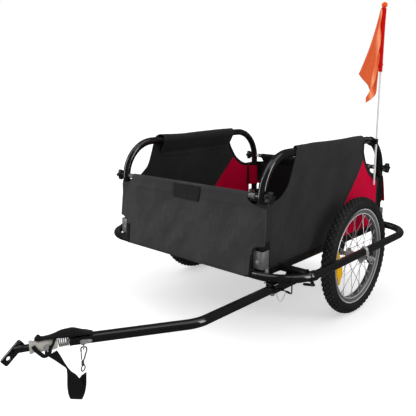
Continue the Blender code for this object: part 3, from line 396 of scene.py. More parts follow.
def mirrored(profile):
    """Profile that goes on with its own mirror image across height 0."""
    return profile + [(radius, -height) for radius, height in reversed(profile[:-1])]


def flipped(points):
    """The same points across the middle line, in reverse order."""
    return [(-across, up) for across, up in reversed(points)]


def turns(steps):
    """Even angles once round a circle."""
    return [tau * step / steps for step in range(steps)]


def collar(inner, outer, half, bevel, centre, axis, steps=48):
    """Short bevelled sleeve round an axis; bevel is how far in and how far along."""
    side = [(outer, half - bevel[1]), (outer - bevel[0], half), (inner, half)]
    low = [(radius, -height) for radius, height in reversed(side)]
    return turned(low + side, centre, axis, steps, True)


def smooth_rows(rows, steps):
    """Smooth curve through rows of numbers, with a few steps between each pair."""
    result = []
    for index in range(len(rows) - 1):
        before = rows[max(index - 1, 0)]
        first = rows[index]
        second = rows[index + 1]
        after = rows[min(index + 2, len(rows) - 1)]
        for step in range(steps):
            t = step / steps
            result.append([0.5 * (2 * b + (c - a) * t + (2 * a - 5 * b + 4 * c - d) * t * t
                                  + (3 * b - a - 3 * c + d) * t ** 3)
                           for a, b, c, d in zip(before, first, second, after)])
    result.append(list(rows[-1]))
    return result


def smooth_route(route, steps):
    """Route with a smooth curve through its points."""
    return [Vector(place) for place in smooth_rows([list(place) for place in route], steps)]


def ramp(value, low, high):
    """Smooth step of a value from 0 at low to 1 at high."""
    t = min(max((value - low) / (high - low), 0.0), 1.0)
    return t * t * (3 - 2 * t)


# Shader nodes

def attach(tree, socket, value):
    """Link a socket to the value of another, or set it."""
    if isinstance(value, bpy.types.NodeSocket):
        tree.links.new(value, socket)
    else:
        socket.default_value = value


def node(tree, kind, inputs=None, **settings):
    """Shader node with its inputs, by name or number, set or linked."""
    made = tree.nodes.new("ShaderNode" + kind)
    for name, value in settings.items():
        setattr(made, name, value)
    for key, value in (inputs or {}).items():
        attach(tree, made.inputs[key], value)
    return made


def maths(tree, operation, *values):
    """One maths node's value."""
    made = node(tree, "Math", dict(enumerate(values)), operation=operation)
    return made.outputs[0]


def times(tree, first, second):
    return maths(tree, 'MULTIPLY', first, second)


def plus(tree, first, second):
    return maths(tree, 'ADD', first, second)


def stretched(tree, vector, factors):
    """Vector with its three parts scaled by factors."""
    made = node(tree, "VectorMath", {0: vector, 1: factors}, operation='MULTIPLY')
    return made.outputs[0]


def mixed(tree, factor, first, second):
    """Colour between first and second."""
    made = node(tree, "Mix", {0: factor, 6: first, 7: second}, data_type='RGBA')
    return made.outputs[2]


def remap(tree, value, low, high, new_low, new_high):
    """Value carried from one range to another and held inside it."""
    made = node(tree, "MapRange", {0: value, 1: low, 2: high, 3: new_low, 4: new_high})
    return made.outputs[0]


def speckle(tree, vector, scale, detail=2.0, roughness=0.5):
    """Noise value about 0.5 at the given scale, in cycles a metre."""
    made = node(tree, "TexNoise", {"Vector": vector, "Scale": scale, "Detail": detail,
                                   "Roughness": roughness})
    return made.outputs[0]


def effect(name, inputs, outputs):
    """Empty node group with named inputs (name, kind, default) and outputs (name, kind)."""
    tree = bpy.data.node_groups.new(name, "ShaderNodeTree")
    for label, kind, default in inputs:
        made = tree.interface.new_socket(label, in_out='INPUT', socket_type="NodeSocket" + kind)
        if default is not None:
            made.default_value = default
    for label, kind in outputs:
        tree.interface.new_socket(label, in_out='OUTPUT', socket_type="NodeSocket" + kind)
    given = tree.nodes.new("NodeGroupInput").outputs
    result = tree.nodes.new("NodeGroupOutput").inputs
    return tree, given, result


def plain_weave():
    """Over-and-under threads: height, and the thread-to-thread change of shade."""
    tree, given, result = effect(
        "plain_weave", [("Vector", "Vector", None), ("Pitch", "Float", 0.0007)],
        [("Height", "Float"), ("Shade", "Float")])
    split = node(tree, "SeparateXYZ", {0: given["Vector"]})
    turns = maths(tree, 'DIVIDE', tau, given["Pitch"])
    wander = times(tree, speckle(tree, given["Vector"], 90.0), 1.2)
    waves = [maths(tree, 'SINE', plus(tree, times(tree, split.outputs[way], turns), wander))
             for way in (0, 1)]
    attach(tree, result["Height"], remap(tree, times(tree, *waves), -1.0, 1.0, 0.0, 1.0))
    slub = stretched(tree, given["Vector"], (500.0, 22.0, 22.0))
    attach(tree, result["Shade"], speckle(tree, slub, 1.0, 3.0, 0.6))
    return tree


def mottle():
    """Large soft cloudiness with a little fine grain."""
    tree, given, result = effect(
        "mottle", [("Vector", "Vector", None), ("Size", "Float", 0.06)], [("Value", "Float")])
    scale = maths(tree, 'DIVIDE', 1.0, given["Size"])
    broad = speckle(tree, given["Vector"], scale, 3.0, 0.55)
    fine = speckle(tree, given["Vector"], times(tree, scale, 14.0))
    both = plus(tree, times(tree, broad, 0.75), times(tree, fine, 0.25))
    attach(tree, result["Value"], remap(tree, both, 0.3, 0.7, 0.0, 1.0))
    return tree


def scuffs():
    """Thin rubbed lines and specks that handling leaves."""
    tree, given, result = effect(
        "scuffs", [("Vector", "Vector", None), ("Amount", "Float", 0.3)], [("Mask", "Float")])
    drawn = stretched(tree, given["Vector"], (60.0, 60.0, 420.0))
    lines = remap(tree, speckle(tree, drawn, 1.0, 4.0, 0.7), 0.62, 0.76, 0.0, 1.0)
    where = remap(tree, speckle(tree, given["Vector"], 9.0), 0.45, 0.7, 0.0, 1.0)
    specks = remap(tree, speckle(tree, given["Vector"], 1300.0, 1.0), 0.72, 0.8, 0.0, 0.6)
    mask = maths(tree, 'MAXIMUM', times(tree, lines, where), specks)
    attach(tree, result["Mask"], times(tree, mask, given["Amount"]))
    return tree


def fine_grain():
    """Fine pebbled skin of powder coat, moulded plastic and rubber."""
    tree, given, result = effect(
        "fine_grain", [("Vector", "Vector", None), ("Size", "Float", 0.001)],
        [("Height", "Float")])
    scale = maths(tree, 'DIVIDE', 1.0, given["Size"])
    cells = node(tree, "TexVoronoi", {"Vector": given["Vector"], "Scale": scale},
                 feature='SMOOTH_F1').outputs[0]
    cloud = speckle(tree, given["Vector"], times(tree, scale, 0.6))
    attach(tree, result["Height"], plus(tree, times(tree, cells, 0.5), times(tree, cloud, 0.5)))
    return tree


WEAVE = plain_weave()
MOTTLE = mottle()
SCUFFS = scuffs()
GRAIN = fine_grain()


def apply_effect(tree, group, **inputs):
    """Outputs of a shared group of nodes with its inputs given."""
    made = tree.nodes.new("ShaderNodeGroup")
    made.node_tree = group
    for name, value in inputs.items():
        attach(tree, made.inputs[name], value)
    return made.outputs


def principled(name, **settings):
    """New material with its shader's own uniform values set."""
    made = bpy.data.materials.new(name)
    made.use_nodes = True
    shader = made.node_tree.nodes["Principled BSDF"]
    for key, value in settings.items():
        shader.inputs[key.replace("_", " ")].default_value = value
    return made, made.node_tree, shader


def object_vector(tree):
    """Place on the piece itself, so that a look moves with it."""
    return node(tree, "TexCoord").outputs["Object"]


def relief(tree, shader, height, depth):
    """Bump of the given depth in metres into the shader's normal."""
    made = node(tree, "Bump", {"Height": height, "Distance": depth, "Strength": 1.0})
    attach(tree, shader.inputs["Normal"], made.outputs["Normal"])


def grained(tree, shader, place, size, depth):
    """Fine pebbled relief, its grains of the given size."""
    relief(tree, shader, apply_effect(tree, GRAIN, Vector=place, Size=size)["Height"], depth)


def clouded(tree, place, size, dark, pale):
    """Cloud value, its patches about a size in metres, and the colour it mixes."""
    cloud = apply_effect(tree, MOTTLE, Vector=place, Size=size)["Value"]
    return cloud, mixed(tree, cloud, dark, pale)


def scuffed(tree, place, amount):
    """Mask of rubbed marks, stronger with the amount."""
    return apply_effect(tree, SCUFFS, Vector=place, Amount=amount)["Mask"]


def surface(tree, shader, colour, rough):
    """Link a shader's colour and roughness."""
    attach(tree, shader.inputs["Base Color"], colour)
    attach(tree, shader.inputs["Roughness"], rough)


def shade(colour, factor=1.0):
    """Colour made darker or lighter by a factor, with its alpha."""
    return (colour[0] * factor, colour[1] * factor, colour[2] * factor, 1.0)


def coated_metal(name, colour, rough, slot, coat=1.0, clear=0.09):
    """Satin powder coat: slight orange peel, cloudy gloss and light handling marks."""
    made, tree, shader = principled(name, Coat_Weight=coat, Coat_Roughness=clear,
                                    Coat_IOR=1.9, Specular_IOR_Level=0.1)
    place = object_vector(tree)
    cloud, tint = clouded(tree, place, 0.05, shade(colour, 0.8), shade(colour, 1.25))
    marks = scuffed(tree, place, 0.30)
    gloss = remap(tree, cloud, 0.0, 1.0, rough - 0.05, rough + 0.07)
    surface(tree, shader, mixed(tree, marks, tint, (0.025, 0.025, 0.025, 1)),
            plus(tree, gloss, times(tree, marks, 0.3)))
    grained(tree, shader, place, 0.0011, 0.00003)
    return made, slot


def bright_metal(name, colour, rough, slot, dull, bare=0.7):
    """Plated or anodised metal, a little dulled; bare is how much of it reads as metal."""
    made, tree, shader = principled(name, Metallic=bare)
    place = object_vector(tree)
    grit = speckle(tree, place, 900.0, 3.0, 0.6)
    cloud, tint = clouded(tree, place, 0.02, shade(colour, 1.0 - 0.3 * dull), shade(colour, 1.05))
    surface(tree, shader, tint,
            plus(tree, remap(tree, grit, 0.3, 0.7, rough - 0.06, rough + 0.08),
                 remap(tree, cloud, 0.0, 1.0, 0.05 * dull, 0.0)))
    relief(tree, shader, grit, 0.000012)
    return made, slot


def wall_vector(tree):
    """Cloth coordinates for upright walls: across along x + y, up along z."""
    split = node(tree, "SeparateXYZ", {0: object_vector(tree)})
    across = plus(tree, split.outputs[0], split.outputs[1])
    return node(tree, "CombineXYZ", {0: across, 1: split.outputs[2]}).outputs[0]


def woven(name, colour, slot, pitch=0.0008, flat=False, rough=0.82, sheen=0.06, depth=0.00016,
          contrast=0.35, gloss=0.25, fold_shade=1.0, painted_fold_light=None):
    """Coated woven cloth: threads, a slanting cloud of painted fold shade and a soft sheen.

    Flat cloth takes its threads from each vertex's flat place, and other cloth from where it
    stands. Its thread valleys are painted darker, as shade, and a slanting cloud paints the
    light and shade of soft diagonal folds, the stronger the higher its fold setting. A painted
    highlight band along a fold is given by its direction, its place along that, its half width
    and its colour.
    """
    made, tree, shader = principled(name, Sheen_Weight=sheen, Sheen_Roughness=0.45,
                                    Specular_IOR_Level=gloss)
    wall = wall_vector(tree)
    flat_place = node(tree, "Attribute", attribute_name="cloth").outputs["Vector"]
    threads = apply_effect(tree, WEAVE, Vector=flat_place if flat else wall, Pitch=pitch)
    # Painted light and shade: a stretched, slanting cloud lightens and darkens the cloth in soft
    # diagonal bands for the shading of folds; the fold setting makes it stronger.
    slant = node(tree, "VectorRotate", {"Vector": wall, "Angle": -0.9}).outputs[0]
    drawn = stretched(tree, slant, (0.28, 0.85, 0.0))
    cloud = apply_effect(tree, MOTTLE, Vector=drawn, Size=0.05)["Value"]
    reach = 0.5 / max(1.0, fold_shade / 2.5)
    cloud = remap(tree, cloud, 0.5 - reach, 0.5 + reach, 0.0, 1.0)
    spread = 0.4 * contrast * min(fold_shade, 2.5)
    ground = mixed(tree, cloud, shade(colour, 1 - spread), shade(colour, 1 + spread))
    thread_tone_and_fold_shade = mixed(tree, remap(tree, threads["Shade"], 0.35, 0.65, 0.0, 1.0),
                 shade(colour, 1 - contrast), ground)
    # Painted shade: the weave's valleys are darkened, as shade would fall in them.
    painted_shade_and_light = mixed(tree, threads["Height"], shade(colour, 0.55), thread_tone_and_fold_shade)
    # Painted highlight: a lighter band along one fold, where light would catch it.
    if painted_fold_light:
        direction, centre, width, pale = painted_fold_light
        along = node(tree, "VectorMath", {0: object_vector(tree), 1: direction},
                     operation='DOT_PRODUCT').outputs["Value"]
        away = maths(tree, 'ABSOLUTE', maths(tree, 'SUBTRACT', along, centre))
        painted_shade_and_light = mixed(tree, remap(tree, away, 0.0, width, 1.0, 0.0), painted_shade_and_light, shade(pale))
    surface(tree, shader, painted_shade_and_light, remap(tree, cloud, 0.0, 1.0, rough - 0.06, rough + 0.06))
    relief(tree, shader, threads["Height"], depth)
    return made, slot


def moulded(name, colour, rough, slot, grain, depth, spread=0.2, **settings):
    """Moulded plastic or rubber with a fine skin."""
    made, tree, shader = principled(name, **settings)
    place = object_vector(tree)
    cloud, tint = clouded(tree, place, 0.03, shade(colour, 1 - spread), shade(colour, 1 + spread))
    surface(tree, shader, tint, remap(tree, cloud, 0.0, 1.0, rough - 0.05, rough + 0.05))
    grained(tree, shader, place, grain, depth)
    return made, slot


def tyre_rubber(name, dark, pale):
    """Matt rubber, cloudy and a little dusty."""
    made, tree, shader = principled(name, Specular_IOR_Level=0.35)
    place = object_vector(tree)
    cloud, tint = clouded(tree, place, 0.035, shade(dark), shade(pale))
    dust = scuffed(tree, place, 0.5)
    surface(tree, shader, mixed(tree, dust, tint, (0.06, 0.058, 0.055, 1)),
            remap(tree, cloud, 0.0, 1.0, 0.62, 0.80))
    grained(tree, shader, place, 0.0009, 0.00007)
    return made, "tyre"


def amber_lens():
    """Amber lens with its back pattern of small prisms."""
    made, tree, shader = principled("amber_lens", Specular_IOR_Level=0.2)
    place = object_vector(tree)
    cells = node(tree, "TexVoronoi", {"Vector": place, "Scale": 420.0}, feature='F1').outputs[0]
    surface(tree, shader, mixed(tree, cells, (1.0, 0.56, 0.001, 1), (0.74, 0.36, 0.0, 1)),
            remap(tree, cells, 0.0, 1.0, 0.08, 0.3))
    relief(tree, shader, cells, 0.0004)
    return made, "amber_lens"


PAINT = coated_metal("black_powder_coat", (0.0042, 0.0042, 0.0045), 0.30, "frame_paint")
RAIL_PAINT = coated_metal("black_rail_coat", (0.0060, 0.0060, 0.0063), 0.42, "frame_paint",
                          coat=0.4, clear=0.35)
ZINC = bright_metal("zinc_plate", (0.78, 0.78, 0.79), 0.28, "zinc", dull=0.9)
SPOKE_STEEL = bright_metal("spoke_steel", (0.90, 0.90, 0.90), 0.24, "zinc", dull=0.6)
RIM_ALLOY = bright_metal("rim_alloy", (0.34, 0.34, 0.35), 0.24, "rim_alloy", dull=0.9, bare=0.65)
# Painted highlight: near-white rings standing for the light caught along the rim's lips.
RIM_HIGHLIGHT = bright_metal("rim_edge_painted_highlight", (0.95, 0.95, 0.95), 0.20, "rim_alloy", dull=0.2, bare=0.4)
RUBBER = tyre_rubber("tyre_rubber", (0.009, 0.009, 0.0095), (0.018, 0.0175, 0.017))
TREAD_RUBBER = tyre_rubber("tread_rubber", (0.019, 0.019, 0.0195), (0.036, 0.035, 0.034))
AMBER = amber_lens()
KNOB = moulded("knob_nylon", (0.012, 0.012, 0.0125), 0.38, "knob_plastic", 0.0006, 0.00004)
CREAM = moulded("cream_nylon", (0.46, 0.448, 0.41), 0.42, "cream_nylon", 0.0012, 0.00002, 0.10,
                Subsurface_Weight=0.15, Subsurface_Scale=0.004)
WHITE_ROD = moulded("white_glass_fibre", (0.84, 0.84, 0.84), 0.35, "white_rod", 0.002, 0.00002,
                    0.06)
ORANGE_BALL = moulded("orange_plastic", (0.95, 0.098, 0.002), 0.35, "orange_plastic", 0.002,
                      0.00002, 0.10, Specular_IOR_Level=0.25)
# Side walls: their painted fold shade is made stronger.
BLACK_CLOTH = woven("black_oxford", (0.031, 0.031, 0.032), "fabric_black", fold_shade=5.0)
# Painted light: the same black oxford made lighter on the front wall, for the stronger light that
# falls there, with much stronger painted fold shade.
LIT_FRONT_CLOTH = woven("black_oxford_painted_lit_front", (0.060, 0.060, 0.061), "fabric_black", fold_shade=13.0)
# Painted shade: the same black oxford made darker on the rear wall, whose inside lies in deep shade.
SHADED_REAR_CLOTH = woven("black_oxford_painted_shade_rear", (0.020, 0.020, 0.0205), "fabric_black")
BLACK_TRIM = woven("black_binding", (0.012, 0.012, 0.0125), "fabric_black", 0.0011, depth=0.0003)
RED_CLOTH = woven("red_oxford", (0.72, 0.0004, 0.044), "fabric_red", sheen=0.0, contrast=0.18,
                  gloss=0.05)
WEBBING = woven("black_webbing", (0.011, 0.011, 0.0115), "webbing", 0.0019, True, 0.72,
                depth=0.0005, contrast=0.5)
WEBBING_PLAIN = woven("black_narrow_webbing", (0.011, 0.011, 0.0115), "webbing", 0.0016,
                      depth=0.0003, contrast=0.5)
THREAD = woven("black_thread", (0.030, 0.030, 0.031), "fabric_black", 0.0006, rough=0.6)
FLOOR_CLOTH = woven("black_coated_floor", (0.022, 0.022, 0.023), "fabric_black", 0.0010,
                    rough=0.6, depth=0.00012)
PATCH_CLOTH = woven("black_loop_patch", (0.017, 0.017, 0.017), "fabric_black", 0.0014, sheen=0.1,
                    rough=0.92, depth=0.0004)
# The flag's cloth carries a painted highlight: a lighter band along one of its folds.
FLAG_CLOTH = woven("orange_flag_cloth", (1.0, 0.152, 0.036), "orange_fabric", 0.0007, True,
                   rough=0.6, sheen=0.0, gloss=0.15, depth=0.0001, contrast=0.15,
                   painted_fold_light=((0.0, 1.0, -0.16), AXLE.y + 0.0285, 0.0170, (1.0, 0.37, 0.18)))
# Painted shade: the flag's orange cloth made deep red where the sleeve folds double, for the shade in
# it.
SHADED_FLAG_SLEEVE = woven("orange_flag_sleeve_painted_shade", (0.74, 0.005, 0.002), "orange_fabric", 0.0007,
                    rough=0.7, sheen=0.0, gloss=0.04, depth=0.0001, contrast=0.15)
HOOK_WIRE = bright_metal("hook_wire", (0.16, 0.16, 0.165), 0.30, "zinc", dull=0.8, bare=0.6)
BAR_METAL = bright_metal("plated_bar", (0.34, 0.34, 0.35), 0.44, "zinc", dull=0.8)


# Studio

def pale_floor():
    """Floor that takes the shadow and shows as plain white where it is fully lit."""
    shape = bmesh.new()
    bmesh.ops.create_grid(shape, x_segments=1, y_segments=1, size=60.0)
    floor = mesh_piece("studio_floor", shape)
    made, tree, shader = principled("studio_floor", Roughness=0.9, Specular_IOR_Level=0.0)
    path = node(tree, "LightPath")
    attach(tree, shader.inputs["Base Color"],
           mixed(tree, path.outputs["Is Glossy Ray"], (0.84, 0.84, 0.84, 1), (0.06, 0.06, 0.06, 1)))
    shader.inputs["Emission Color"].default_value = (1, 1, 1, 1)
    attach(tree, shader.inputs["Emission Strength"],
           times(tree, path.outputs["Is Camera Ray"], 0.46))
    floor.data.materials.append(made)


def studio_world():
    """Soft pale surround, plain white to the camera and dimmer in reflections."""
    world = bpy.data.worlds.new("studio")
    bpy.context.scene.world = world
    world.use_nodes = True
    tree = world.node_tree
    ground = tree.nodes["Background"]
    path = node(tree, "LightPath")
    seen = maths(tree, 'MAXIMUM', path.outputs["Is Camera Ray"],
                 path.outputs["Is Transmission Ray"])
    plain = remap(tree, path.outputs["Is Glossy Ray"], 0.0, 1.0, 0.66, 0.07)
    ground.inputs["Color"].default_value = (1.0, 1.0, 1.0, 1)
    lift = times(tree, seen, maths(tree, 'SUBTRACT', 1.0, plain))
    attach(tree, ground.inputs["Strength"], plus(tree, plain, lift))


def towards(azimuth, height):
    """Direction at two angles in degrees: round from the left and up from level."""
    level = cos(radians(height))
    return Vector((level * cos(radians(azimuth)), level * sin(radians(azimuth)),
                   sin(radians(height))))


def hang(name, light, place, heading):
    """Put a lamp in its place so that it shines against its heading."""
    lamp = scene_object(name, light)
    lamp.location = place
    lamp.rotation_euler = heading.to_track_quat('Z', 'Y').to_euler()


def studio_sun(name, azimuth, height, strength, spread):
    """Even light from a direction in degrees, as wide as a studio panel."""
    light = bpy.data.lights.new(name, 'SUN')
    light.energy = strength
    light.angle = radians(spread)
    heading = towards(azimuth, height)
    hang(name, light, heading * 4, heading)


def softbox(name, azimuth, distance, size, power):
    """Tall panel that draws a light line down every tube."""
    light = bpy.data.lights.new(name, 'AREA')
    light.shape = 'RECTANGLE'
    light.size, light.size_y = size
    light.energy = power
    heading = towards(azimuth, 0)
    hang(name, light, AXLE + heading * distance + UP * (size[1] / 2 + 0.15), heading)


CAMERA_PLACE = Vector((1.1645, -1.5795, 0.7495))
CAMERA_YAW = -0.74905
CAMERA_PITCH = 0.22310
CAMERA_ROLL = -0.00865
CAMERA_LENS = 46.06


def photo_camera():
    """Camera at the photograph's place and angle."""
    data = bpy.data.cameras.new("photo_camera")
    data.sensor_fit = 'HORIZONTAL'
    data.sensor_width = 36.0
    data.lens = CAMERA_LENS
    data.clip_start = 0.05
    camera = scene_object("photo_camera", data)
    level = Matrix.Rotation(pi / 2 - CAMERA_PITCH, 4, 'X')
    turn = Matrix.Rotation(-CAMERA_YAW, 4, 'Z') @ level @ Matrix.Rotation(CAMERA_ROLL, 4, 'Z')
    camera.matrix_world = Matrix.Translation(CAMERA_PLACE + AXLE) @ turn
    bpy.context.scene.camera = camera


def studio():
    """Plain view colours, floor, surround, lights and camera."""
    bpy.context.scene.view_settings.view_transform = 'Standard'
    pale_floor()
    studio_world()
    studio_sun("left_sun", 18, 60, 0.32, 50)
    studio_sun("right_sun", -139, 58, 0.42, 50)
    softbox("left_strip", 6, 3.0, (0.80, 2.4), 21)
    softbox("right_strip", -128, 3.0, (0.70, 2.4), 19)
    photo_camera()


# Frame, rails and floor

FRONT_ARC_Y = BEAM_Y + LOOP_R
REAR_ARC_Y = GUARD_REAR_Y - LOOP_R


def loop_point(side, degrees, centre_y):
    """Point on one of the frame loop's corner arcs."""
    angle = radians(degrees)
    x = GUARD_X - LOOP_R + LOOP_R * cos(angle)
    return Vector((side * x, centre_y + LOOP_R * sin(angle), BEAM_Z))


def mirrored_route(route):
    """The same route on the other side of the trailer, run backwards."""
    return [Vector((-place.x, place.y, place.z)) for place in reversed(route)]


def weld(route, radius, closed=False):
    """Rippled weld bead along a route."""
    fine = smooth_route(route + (route[:1] if closed else []), 5)
    fine = fine[:-1] if closed else fine
    radii = [radius * (1 + 0.16 * sin(2.1 * step)) for step in range(len(fine))]
    return sweep(fine, radii, 8, closed)


def circle(centre, axis, radius, steps=24):
    """Route once round a circle."""
    turn = aim(axis, centre)
    return [turn @ Vector((radius * cos(angle), radius * sin(angle), 0))
            for angle in turns(steps)]


def front_beam():
    """Front cross beam, bent round both front corners, with a wider socket at each end."""
    bends = [(-90 + 4.5 * step, TUBE_R) for step in range(16)]
    bends += [(-18.4, TUBE_R), (-17.6, 0.0145), (-16.9, 0.0150), (-13, 0.0150), (-9, 0.0150),
              (-5.4, 0.0150), (-5.0, 0.0143)]
    left = [loop_point(1, angle, FRONT_ARC_Y) for angle, radius in bends]
    radii = [radius for angle, radius in bends]
    beam = sweep(mirrored_route(left) + left, radii[::-1] + radii, 32)
    rings = [turned([(0.0120, -0.0008), (0.0129, -0.0006), (0.0129, 0.0006), (0.0120, 0.0008)],
                    (side * 0.2830, BEAM_Y, BEAM_Z), LEFT, 32) for side in (1, -1)]
    replace("front_beam", gather(beam, *rings), "frame", PAINT)


def wheel_guard():
    """U-shaped tube behind the box and outside both wheels."""
    half = [loop_point(1, angle, FRONT_ARC_Y) for angle in (-4.85, -2.5, 0)]
    half += [loop_point(1, 4.5 * step, REAR_ARC_Y) for step in range(21)]
    replace("wheel_guard", sweep(half + mirrored_route(half), TUBE_R, 32), "frame", PAINT)


def cope_weld(x, tube_y, inward):
    """Weld line where a rail meets a cross tube, up one side, over and down the other."""
    low = RAIL_Z - RAIL_HALF
    high = RAIL_Z + RAIL_HALF
    heights = [low + (high - low) * step / 4 for step in range(5)]
    around = [(x - RAIL_HALF, z) for z in heights]
    around += [(x - RAIL_HALF / 2, high), (x + RAIL_HALF / 2, high)]
    around += [(x + RAIL_HALF, z) for z in reversed(heights)]
    route = []
    for across, z in around:
        rise = z - BEAM_Z
        reach = sqrt(max(TUBE_R ** 2 - rise ** 2, 0.0075 ** 2))
        route.append(Vector((across, tube_y + inward * (reach + 0.0004), z)))
    return weld(route, 0.0016)


def side_rail(side, label):
    """Square rail coped round both cross tubes, with its round outrigger."""
    x = side * RAIL_X
    rail = block((x - RAIL_HALF, BEAM_Y + 0.0075, RAIL_Z - RAIL_HALF),
                 (x + RAIL_HALF, GUARD_REAR_Y - 0.0075, RAIL_Z + RAIL_HALF), 0.0026, 3)
    tubes = [bar((-0.4, y, BEAM_Z), (0.4, y, BEAM_Z), TUBE_R + 0.0002, 48)
             for y in (BEAM_Y, GUARD_REAR_Y)]
    rail = carve(rail, *tubes)
    face = side * (RAIL_X + RAIL_HALF)
    brace = bar((side * (RAIL_X + 0.006), OUTRIGGER_Y, OUTRIGGER_Z),
                (side * 0.4030, OUTRIGGER_Y, OUTRIGGER_Z), OUTRIGGER_R, 32)
    beads = [weld(circle((face, OUTRIGGER_Y, OUTRIGGER_Z), (1, 0, 0), 0.0114), 0.0017, True),
             weld(circle((side * 0.4005, OUTRIGGER_Y, OUTRIGGER_Z), (1, 0, 0), 0.0112), 0.0017,
                  True),
             cope_weld(x, BEAM_Y, 1), cope_weld(x, GUARD_REAR_Y, -1)]
    replace("side_rail_" + label, gather(rail, brace, *beads), "frame", RAIL_PAINT)


def slotted_outline(top_half, low_half, top_z):
    """Dropout outline with rounded shoulders and an axle slot that opens downwards."""
    slot = 0.0055
    low_z = 0.184
    arch = [(-slot * cos(pi * step / 14), AXLE_Z + slot * sin(pi * step / 14))
            for step in range(15)]
    right = [(slot, low_z + 0.002), (slot + 0.002, low_z), (low_half - 0.002, low_z),
             (low_half, low_z + 0.003), (top_half, top_z - 0.024), (top_half, top_z - 0.005),
             (top_half - 0.0015, top_z - 0.0015), (top_half - 0.005, top_z)]
    return flipped(right) + arch + right


def dropouts(side, label):
    """Slotted plates inside and outside a wheel, the outer one welded on top."""
    inner_x, outer_x = side * 0.3113, side * 0.4180
    inner = plate(slotted_outline(0.030, 0.013, 0.246), 0.004, BACK, UP, (inner_x, 0, 0), 0.0007)
    outer = plate(slotted_outline(0.020, 0.012, 0.218), 0.003, BACK, UP, (outer_x, 0, 0), 0.0006)
    line = [Vector((outer_x, -0.018 + 0.004 * step, 0.2186)) for step in range(10)]
    replace("inner_dropout_" + label, inner, "frame", PAINT)
    replace("outer_dropout_" + label, gather(outer, weld(line, 0.0022)), "frame", PAINT)


def axle_strap(side, label):
    """Plated strap hooked over the guard and slanting back to the outer axle nut."""
    hook_r = TUBE_R + 0.0009
    hook_y = -0.046
    width = 0.0150
    route = [(side * (GUARD_X - hook_r), hook_y, 0.2225)]
    for step in range(13):
        angle = pi * (1 - step / 12)
        route.append((side * (GUARD_X + hook_r * cos(angle)), hook_y,
                      BEAM_Z + hook_r * sin(angle)))
    route += [(side * 0.4314, hook_y + 0.005, 0.2250), (side * 0.4284, -0.0325, 0.2175),
              (side * 0.4225, -0.0235, 0.2110), (side * 0.4204, -0.0170, 0.2060),
              (side * 0.4202, -0.0060, 0.1980), (side * 0.4202, 0.0085, 0.1870)]
    fine = smooth_route(route, 3)
    across = Vector((0, 0.86, 0.51)).normalized() * width
    shape = cloth(4, width, lengths_along(fine), lambda u, row: fine[row] + across * (u - 0.5))
    bmesh.ops.solidify(shape, geom=shape.faces[:], thickness=0.0014)
    seat("axle_strap_" + label, soften(shape, 0.0004, 1, 50), "frame", ZINC)


def threaded(start, end, radius):
    """Threaded end of a bolt, ridge by ridge."""
    start = Vector(start)
    length = (Vector(end) - start).length
    pitch = 0.00125
    profile = [(0.0, 0.0), (radius * 0.8, 0.0)]
    for step in range(int(length / pitch)):
        profile += [(radius * 0.88, pitch * (step + 0.1)), (radius, pitch * (step + 0.55))]
    profile += [(radius * 0.8, length), (0.0, length)]
    return turned(profile, start, Vector(end) - start, 24)


def axle(side, label):
    """Fixed axle, its bearing cones and lock nuts, inner head, outer washer and nut."""
    def at(x):
        return Vector((side * x, 0, AXLE_Z))

    parts = [bar(at(0.296), at(0.4290), 0.0048, 24), threaded(at(0.4288), at(0.4368), 0.0049),
             hexagon(at(0.3070), at(0.2995), 0.0096), bar(at(0.3066), at(0.3088), 0.0112, 32, 0.0004),
             bar(at(0.3140), at(0.3156), 0.0100, 32, 0.0003), hexagon(at(0.3156), at(0.3200), 0.0088),
             bar(at(0.3200), at(0.3318), 0.0072, 32, 0.0008),
             bar(at(0.3992), at(0.4110), 0.0072, 32, 0.0008), hexagon(at(0.4110), at(0.4150), 0.0088),
             bar(at(0.4150), at(0.4163), 0.0100, 32, 0.0003),
             bar(at(0.4211), at(0.4226), 0.0108, 32, 0.0004), hexagon(at(0.4226), at(0.4288), 0.0096)]
    replace("axle_" + label, gather(*parts), "frame", ZINC)


def button_head(centre, axis, radius, height):
    """Domed screw head with a hexagon socket on its washer."""
    profile = [(0.0, -0.0006), (radius * 1.25, -0.0006), (radius * 1.25, 0.0004),
               (radius * 0.96, 0.0005), (radius, 0.0010), (radius * 0.90, height * 0.62),
               (radius * 0.62, height), (0.0, height)]
    head = turned(profile, steps=28)
    socket = bar((0, 0, height * 0.35), (0, 0, height * 2), radius * 0.52, 6)
    return placed(carve(head, socket), aim(axis, centre))


def leg_bracket(side, leg_y, label):
    """Folded channel round a leg's foot, with a tab bolted down the rail's outer face."""
    away = 1 if leg_y > 0 else -1
    face = side * 0.3118
    channel = block((side * 0.279, leg_y - 0.0157, 0.2479), (face, leg_y + 0.0157, 0.300), 0.0014)
    hollow = block((side * 0.260, leg_y - 0.0133, 0.2503), (side * 0.3094, leg_y + 0.0133, 0.310))
    channel = soften(carve(channel, hollow), 0.0004, 1, 60)
    tab = block((side * 0.3096, leg_y + away * 0.0025, 0.2262),
                (face, leg_y - away * 0.0157, 0.2495), 0.0009)
    head = button_head((side * 0.3120, leg_y - away * 0.0066, 0.2385), (side, 0, 0), 0.0052, 0.0030)
    replace("leg_bracket_" + label, gather(channel, tab), "frame", BAR_METAL)
    seat("bracket_screw_" + label, head, "frame", ZINC)


def fold_bolt(side, leg_y, label):
    """Bolt that a hoop's leg folds on, from its button head to its nut."""
    away = 1 if leg_y > 0 else -1
    x = side * HOOP_X

    def at(reach):
        return Vector((x, leg_y + away * reach, FOLD_Z))

    head = button_head(at(0.0163), (0, away, 0), 0.0052, 0.0030)
    nut = hexagon(at(-0.0163), at(-0.0198), 0.0060)
    shank = bar(at(-0.0202), at(0.0170), 0.0029, 20, 0.0003)
    replace("fold_bolt_" + label, gather(head, nut, shank), "frame", ZINC)


